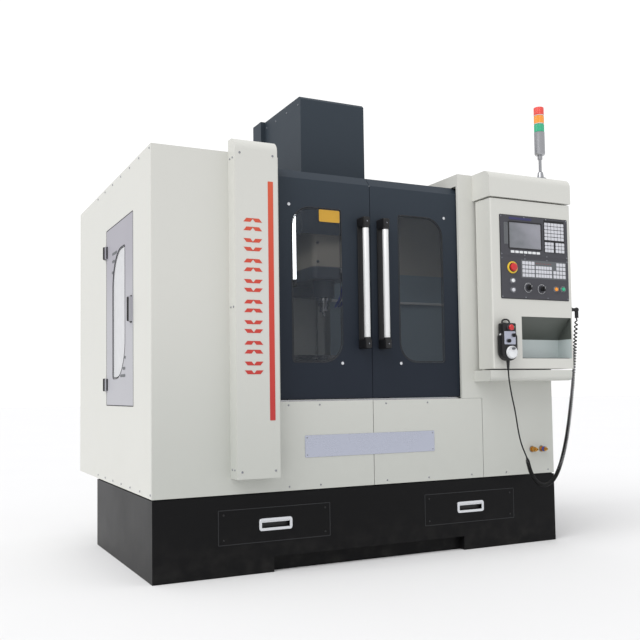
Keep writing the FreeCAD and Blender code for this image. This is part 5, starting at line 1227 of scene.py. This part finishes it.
piece("side_pull", side_pull, black_plastic, "side_door")
SLOTS = (  # y, z, width
    (0.138, 1.524, 0.100), (0.163, 1.485, 0.052), (0.185, 1.430, 0.028),
    (-0.036, 0.900, 0.100), (-0.060, 0.935, 0.052), (-0.082, 0.987, 0.028),
)
slot_shell = [(0, 0), (0, 0.0006), (0.0015, 0.0014), (0.003, 0.0004)]
# Painted shade: each slot is a dark shell that stands for the shade inside an open slot.
slots = [plate(width, 0.014, 0.006, slot_shell, (SIDE_FACE, y, z), "left") for y, z, width in SLOTS]
piece("side_slot_shades", slots, slot_plastic, "side_door")
seam = rim(0.573, 0.913, 0.004, (SIDE_FACE - 0.0006, 0.043, 1.210), lip_section(0.0035, 0.0016, 0.0004),
           "left", turn=-1)
piece("side_door_seam", [seam], gasket_rubber, looped=True)

# %% [markdown]
# ## Window studs and film
# A bright stud at the swept corners of each pane carries the safety catch, and a blank yellow
# film marks where a notice would go.

# %% Window studs and film
stud = [(0.0075, 0), (0.0075, 0.002), (0.005, 0.0035)]
for name, side in (("left", -1), ("right", 1)):
    studs = [turned_part(stud, (side * x, DOOR_FACE, z), steps=18)
             for x, z in ((0.437, 1.692), (0.164, 0.944))]
    piece(f"{name}_window_studs", studs, bright_trim, f"{name}_door")
pane_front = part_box("left_window")[0][1]
film = slab_piece(0.112, 0.060, 0.0006, (-0.222, pane_front, 1.652), radius=0.006, soft=0.0002)
piece("window_film", [film], film_plastic, "left_door")

# %% [markdown]
# ## Inside the booth
# Through the panes one sees the head with its coolant hoses, a tall work lamp on its bracket,
# ledges and baffles at the back, and a folded steel cover in front of the table. A jointed hose
# is beads on a line, so its radius swells and narrows along the path; a folded cover is a zigzag
# carried across its width.

# %% Work lamp, ledges and baffles
LAMP = (-0.372, -0.455)   # x and y of the tube


def lamp_glow():
    """White glass that gives light."""
    finish = Finish("work_lamp_tube", tone(240, 244, 250), 0.3)
    glow = finish.noise(6, 2)
    finish.feed(Base_Color=finish.mix(glow, tone(236, 240, 248), tone(250, 250, 250)),
                Roughness=0.25 + 0.1 * glow)
    finish.shader.inputs["Emission Color"].default_value = (0.92, 0.96, 1, 1)
    finish.shader.inputs["Emission Strength"].default_value = 5.0
    return finish


tube = bar(1.340, 1.690, 0.0090, 0.0020, 0.004, *LAMP)
piece("work_lamp", [tube], lamp_glow())
lamp_ends = [bar(z - 0.018, z + 0.018, 0.0125, 0.0035, 0.002, *LAMP) for z in (1.332, 1.698)]
piece("work_lamp_ends", lamp_ends, black_plastic)
lamp_arm = [plate(0.016, 0.176, 0.002, [(0, 0), (0, 0.003), (0.0006, 0.004)], (LAMP[0], -0.464, 1.786)),
            plate(0.016, 0.010, 0.002, [(0, 0), (0, 0.012)], (LAMP[0], -0.453, 1.722))]
piece("work_lamp_arm", lamp_arm, zinc)
for name, high, z, profile, finish, slot in (
        ("splash_ledges", 0.014, 1.343, [(0, 0), (0, 0.0142), (0.0012, 0.016)], white_plastic, "galvanised"),
        ("upper_baffles", 0.112, 1.832, [(0, 0), (0, 0.0012)], lining_paint, "body_grey")):
    sheets = [plate(0.885, high, 0.001, profile, (side * 0.640, 0.288, z)) for side in (-1, 1)]
    piece(name, sheets, finish)


# %% Hoses and way cover
def beaded_hose(start, bend, end, radius, beads):
    """A quadratic curve (1-t)^2 start + 2 t (1-t) bend + t^2 end, whose radius is
    r (0.86 + 0.2 |sin(beads pi t)|) and tapers in the last tenth to a nozzle."""
    t = np.linspace(0, 1, beads * 6 + 1)[:, None]
    path = (1 - t) ** 2 * np.array(start) + 2 * t * (1 - t) * np.array(bend) + t ** 2 * np.array(end)
    taper = np.where(t > 0.9, 1 - 4.5 * (t - 0.9), 1)
    swell = radius * (0.86 + 0.2 * np.abs(np.sin(beads * np.pi * t))) * taper
    tube = carried(path, disc_section(1.0, 14), (0, 1, 0.001))
    return path[:, None] + (tube - path[:, None]) * swell[:, None]


HOSE_TOP = 1.455
hoses = [beaded_hose((0.112, -0.132, HOSE_TOP), (0.120, -0.140, 1.330), (0.056, -0.085, 1.265), 0.0085, 9),
         beaded_hose((0.062, -0.132, HOSE_TOP), (0.064, -0.160, 1.330), (0.036, -0.080, 1.262), 0.0085, 9)]
piece("coolant_hoses", hoses, blue_plastic, "head")
blocks = [plate(0.030, 0.030, 0.004, [(0, 0), (0, 0.012), (0.002, 0.014)], (x, -0.124, HOSE_TOP))
          for x in (0.112, 0.062)]
piece("hose_blocks", blocks, zinc, "head")


def folded_cover(width, start, end, folds, depth, thick=0.0012):
    """A zigzag sheet: height is depth times a triangle wave of the share run from start to end."""
    share = np.linspace(0, 1, 2 * folds + 1)[:, None]
    wave = depth * (np.arange(2 * folds + 1) % 2)
    sheet = np.array(start) + share * (np.array(end) - np.array(start)) + wave[:, None] * np.array((0, 0, 1))
    left, right = sheet - (width / 2, 0, 0), sheet + (width / 2, 0, 0)
    return np.stack((left, right, right + (0, 0, thick), left + (0, 0, thick)), 1)


cover = folded_cover(0.36, (0, -0.415, 0.752), (0, -0.236, 0.752), 9, 0.012)
piece("way_cover", [cover], zinc, crease=20)

# %% [markdown]
# ## Head and table details
# Bolts on the head cover give the casting its scale, and so do two stop dogs on the front edge
# of the table, with a strip above them.

# %% Head and table details
head_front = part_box("head_casting")[0][1]
bolt = [(0.0075, 0), (0.0075, 0.006), (0.0066, 0.0075), (0.0038, 0.0075), (0.0036, 0.004)]
bolts = [turned_part(bolt, (x, head_front, z), steps=16)
         for x in (-0.085, 0.085) for z in (1.50, 1.60, 1.70, 1.79)]
piece("head_bolts", bolts, zinc, "head")
table_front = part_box("table")[0][1]
dogs = [plate(0.026, 0.018, 0.003, [(0, 0), (0, 0.010), (0.003, 0.014)], (x, table_front, 0.950))
        for x in (-0.24, 0.24)]
dogs.append(plate(0.62, 0.006, 0.001, [(0, 0), (0, 0.0025), (0.0008, 0.003)], (0, table_front, 0.962)))
piece("table_dogs", dogs, turned_steel, "table")

# %% [markdown]
# ## Control box trim
# A dark filler closes the gap between the two panels, a thin rubber runs round both, and one
# coupling wears a blue ring to tell coolant from air.

# %% Control box trim
filler = slab_piece(0.440, 0.0095, 0.0032, (0.889, -0.705, 1.488), radius=0.001, soft=0.0004)
piece("panel_filler", [filler], bezel_plastic, "control")
panel_rubber = rim(0.445, 0.431, 0.004, (0.889, -0.7056, 1.486), lip_section(0.003, 0.0014, 0.0004))
piece("panel_rubber", [panel_rubber], gasket_rubber, "control", looped=True)
AIR_X, COOLANT_X, COUPLING_Z = 0.954, 1.018, 0.488
COLLAR_Y = -0.584
coolant_ring = bezel_ring((COOLANT_X, COLLAR_Y, COUPLING_Z), 0.0112, 0.0136, 0.014)
air_ring = bezel_ring((AIR_X, COLLAR_Y, COUPLING_Z), 0.0112, 0.0130, 0.010)
piece("coolant_collar", [coolant_ring], blue_plastic, looped=True)
piece("air_collar", [air_ring], brass, looped=True)
washers = [turned_part([(0.0175, 0), (0.0175, 0.0012), (0.0160, 0.0022)], (x, FRONT, COUPLING_Z))
           for x in (AIR_X, COOLANT_X)]
piece("coupling_washers", washers, zinc)
mat = slab_piece(0.318, 0.088, 0.0025, (0.958, -0.652, 0.9655), "up", radius=0.004)
piece("cubby_mat", [mat], gasket_rubber, "control")

# %% [markdown]
# ## Louvres
# The back and the right flank are the service side, where air goes through pressed louvres. A
# louvre is a scoop: a rounded plate whose level rises towards its lower edge.

# %% Louvres
def louvre(width, height, depth, place, facing):
    """Rings of a rounded rectangle, each at a share of the depth; the share is four times as large
    at the lower edge as at the upper one, so the scoop opens below."""
    across, up, out = np.array(FACINGS[facing], float)
    rings = []
    for inset, share in ((0, 0), (0.0005, 0.55), (0.0025, 0.9), (0.005, 1.0)):
        radius = height / 2 - inset - 0.0005
        flat = rounded_outline(width - 2 * inset, height - 2 * inset, radius)
        slope = np.clip(0.5 - flat[:, 1] / height, 0, 1)
        level = depth * share * (0.25 + 0.75 * slope)
        rings.append(np.array(place) + flat[:, :1] * across + flat[:, 1:] * up + level[:, None] * out)
    return np.array(rings)


def louvre_bank(columns, rows, pitch, size, place, facing="back"):
    """The same scoop in a grid about place."""
    across, up, _ = np.array(FACINGS[facing], float)
    return [louvre(*size, 0.007, np.array(place) + (i - (columns - 1) / 2) * pitch[0] * across
                   + (j - (rows - 1) / 2) * pitch[1] * up, facing)
            for i in range(columns) for j in range(rows)]


CABINET_BACK, CABINET_MIDDLE = 1.0633, -0.79
cabinet_bank = ((0.21, 0.022), (0.18, 0.014))
cabinet_louvres = louvre_bank(2, 9, *cabinet_bank, (CABINET_MIDDLE, CABINET_BACK, 0.56))
cabinet_louvres += louvre_bank(2, 7, *cabinet_bank, (CABINET_MIDDLE, CABINET_BACK, 1.70))
piece("cabinet_louvres", cabinet_louvres, front_paint, "cabinet_door")
BANKS = {  # columns, rows, pitch, size, middle, facing
    "rear": (3, 8, (0.22, 0.024), (0.19, 0.015), (0.62, BACK, 1.62), "back"),
    "flank": (2, 10, (0.24, 0.024), (0.20, 0.015), (FLANK, 0.26, 0.62), "right"),
    "cabinet_flank": (1, 10, (0.24, 0.024), (0.24, 0.015), (-0.480, 0.805, 1.66), "right"),
}
for name, bank in BANKS.items():
    piece(f"{name}_louvres", louvre_bank(*bank), front_paint)

# %% [markdown]
# ## Inside the cabinet
# The cabinet door opens on a mounting plate. Wiring ducts frame it, breakers and contactors sit
# in rows, the servo drives stand below them and a transformer is at the foot. All are boxes that
# rise from the plate, so each row is one line.

# %% Cabinet plate
def block(across, z, width, height, deep, base=0.006):
    """A moulded box at a distance from the cabinet's middle line, rising from base by its depth."""
    return plate(width, height, 0.002, [(0, base), (0, base + deep - 0.003), (0.003, base + deep)],
                 (CABINET_MIDDLE + across, BACK, z), "back", 2)


def row_of(count, pitch, *size_and_place):
    """The same box, count times, in a row about the middle line."""
    return [block((i - (count - 1) / 2) * pitch, *size_and_place) for i in range(count)]


mounting_plate = slab_piece(0.54, 1.40, 0.006, (CABINET_MIDDLE, BACK, 1.130), "back")
piece("cabinet_plate", [mounting_plate], zinc)
ducts = [block(0, z, 0.500, 0.050, 0.060) for z in (1.780, 1.480, 1.180, 0.740)]
ducts += [block(side * 0.230, z, 0.040, height, 0.060) for side in (-1, 1)
          for z, height in ((1.630, 0.246), (1.330, 0.246), (0.960, 0.386))]
piece("wire_ducts", ducts, slot_plastic)
ROWS = {  # finish, word, then how many, pitch, z, width, height, depth and where it rises from
    "breakers": (white_plastic, "white_plastic", 16, 0.0225, 1.640, 0.0215, 0.085, 0.062),
    "breaker_toggles": (black_plastic, "black_plastic", 16, 0.0225, 1.640, 0.0100, 0.018, 0.012, 0.068),
    "contactors": (bezel_plastic, "black_plastic", 7, 0.0530, 1.335, 0.0480, 0.085, 0.085),
    "servo_drives": (key_plastic, "grey_plastic", 4, 0.0980, 0.965, 0.0900, 0.300, 0.170),
    "drive_fronts": (navy_plastic, "panel_dark", 4, 0.0980, 0.990, 0.0700, 0.160, 0.004, 0.176),
    "terminals": (key_plastic, "grey_plastic", 24, 0.0160, 0.660, 0.0140, 0.050, 0.045),
}
for name, (finish, slot, *row) in ROWS.items():
    piece(name, row_of(*row), finish)
transformer = [block(-0.120, 0.520, 0.170, 0.130, 0.120), block(0.100, 0.510, 0.130, 0.110, 0.090)]
piece("transformer", transformer, motor_paint)

# %% [markdown]
# ## Isolator and conduit
# The isolator is a red handle on a yellow plate, on the outside of the cabinet door. One ribbed
# conduit carries the wires from the cabinet over the roof to the hood.

# %% Isolator and conduit
ISOLATOR = (CABINET_MIDDLE, CABINET_BACK, 1.250)
isolator_plate = slab_piece(0.090, 0.090, 0.003, ISOLATOR, "back", radius=0.006)
piece("isolator_plate", [isolator_plate], yellow_plastic, "cabinet_door")
switch = [turned_part([(0.0270, 0.003), (0.0270, 0.010), (0.0250, 0.012)], ISOLATOR, "back", 36),
          plate(0.014, 0.056, 0.004, [(0, 0.011), (0, 0.024), (0.002, 0.026)], ISOLATOR, "back")]
piece("isolator_handle", switch, red_plastic, "cabinet_door")


def conduit(points, radius, ripple):
    """A ribbed hose: straight runs between the points, their corners rounded by averaging each
    point with its neighbours, and a radius that ripples by the given share."""
    points = np.array(points, float)
    t = np.linspace(0, len(points) - 1, 60 * (len(points) - 1) + 1)
    smooth = np.stack([np.interp(t, np.arange(len(points)), points[:, axis]) for axis in range(3)], -1)
    for _ in range(60):
        smooth[1:-1] = 0.25 * smooth[:-2] + 0.5 * smooth[1:-1] + 0.25 * smooth[2:]
    tube = carried(smooth, disc_section(1.0, 12), (0.1, 1, 0.05))
    swell = radius * (1 + ripple * np.sin(np.arange(len(smooth)) * np.pi / 2))
    return smooth[:, None] + (tube - smooth[:, None]) * swell[:, None, None]


ROOF_RUN = [(-0.62, 0.60, 1.905), (-0.62, 0.60, 1.99), (-0.62, 0.50, 2.01), (-0.40, 0.40, 2.01),
            (-0.222, 0.40, 2.01)]
piece("roof_conduit", [conduit(ROOF_RUN, 0.014, 0.10)], motor_paint)
cabinet_gland = [(0.020, 0), (0.022, 0.006), (0.022, 0.014), (0.017, 0.020), (0.017, 0.030)]
hood_gland = [(0.020, 0), (0.022, 0.004), (0.022, 0.012), (0.017, 0.020)]
glands = [turned_part(cabinet_gland, (-0.62, 0.60, 1.900), "up", 24),
          turned_part(hood_gland, (-0.217, 0.40, 2.01), "left", 24)]
piece("conduit_glands", glands, zinc)
HOOD_BACK = 0.445
hood_screws = [button_head((-0.190, y, z), "left", 0.0045, 10)
               for y in (-0.13, 0.02, 0.17, 0.30) for z in (1.95, 2.33)]
hood_screws += [button_head((x, HOOD_BACK, z), "back", 0.0045, 10)
                for x in (-0.19, 0.19) for z in (1.95, 2.15, 2.33)]
piece("hood_screws", hood_screws, zinc)
hood_louvres = louvre_bank(1, 8, (0.2, 0.024), (0.22, 0.015), (0, HOOD_BACK, 2.20))
piece("hood_louvres", hood_louvres, door_paint)
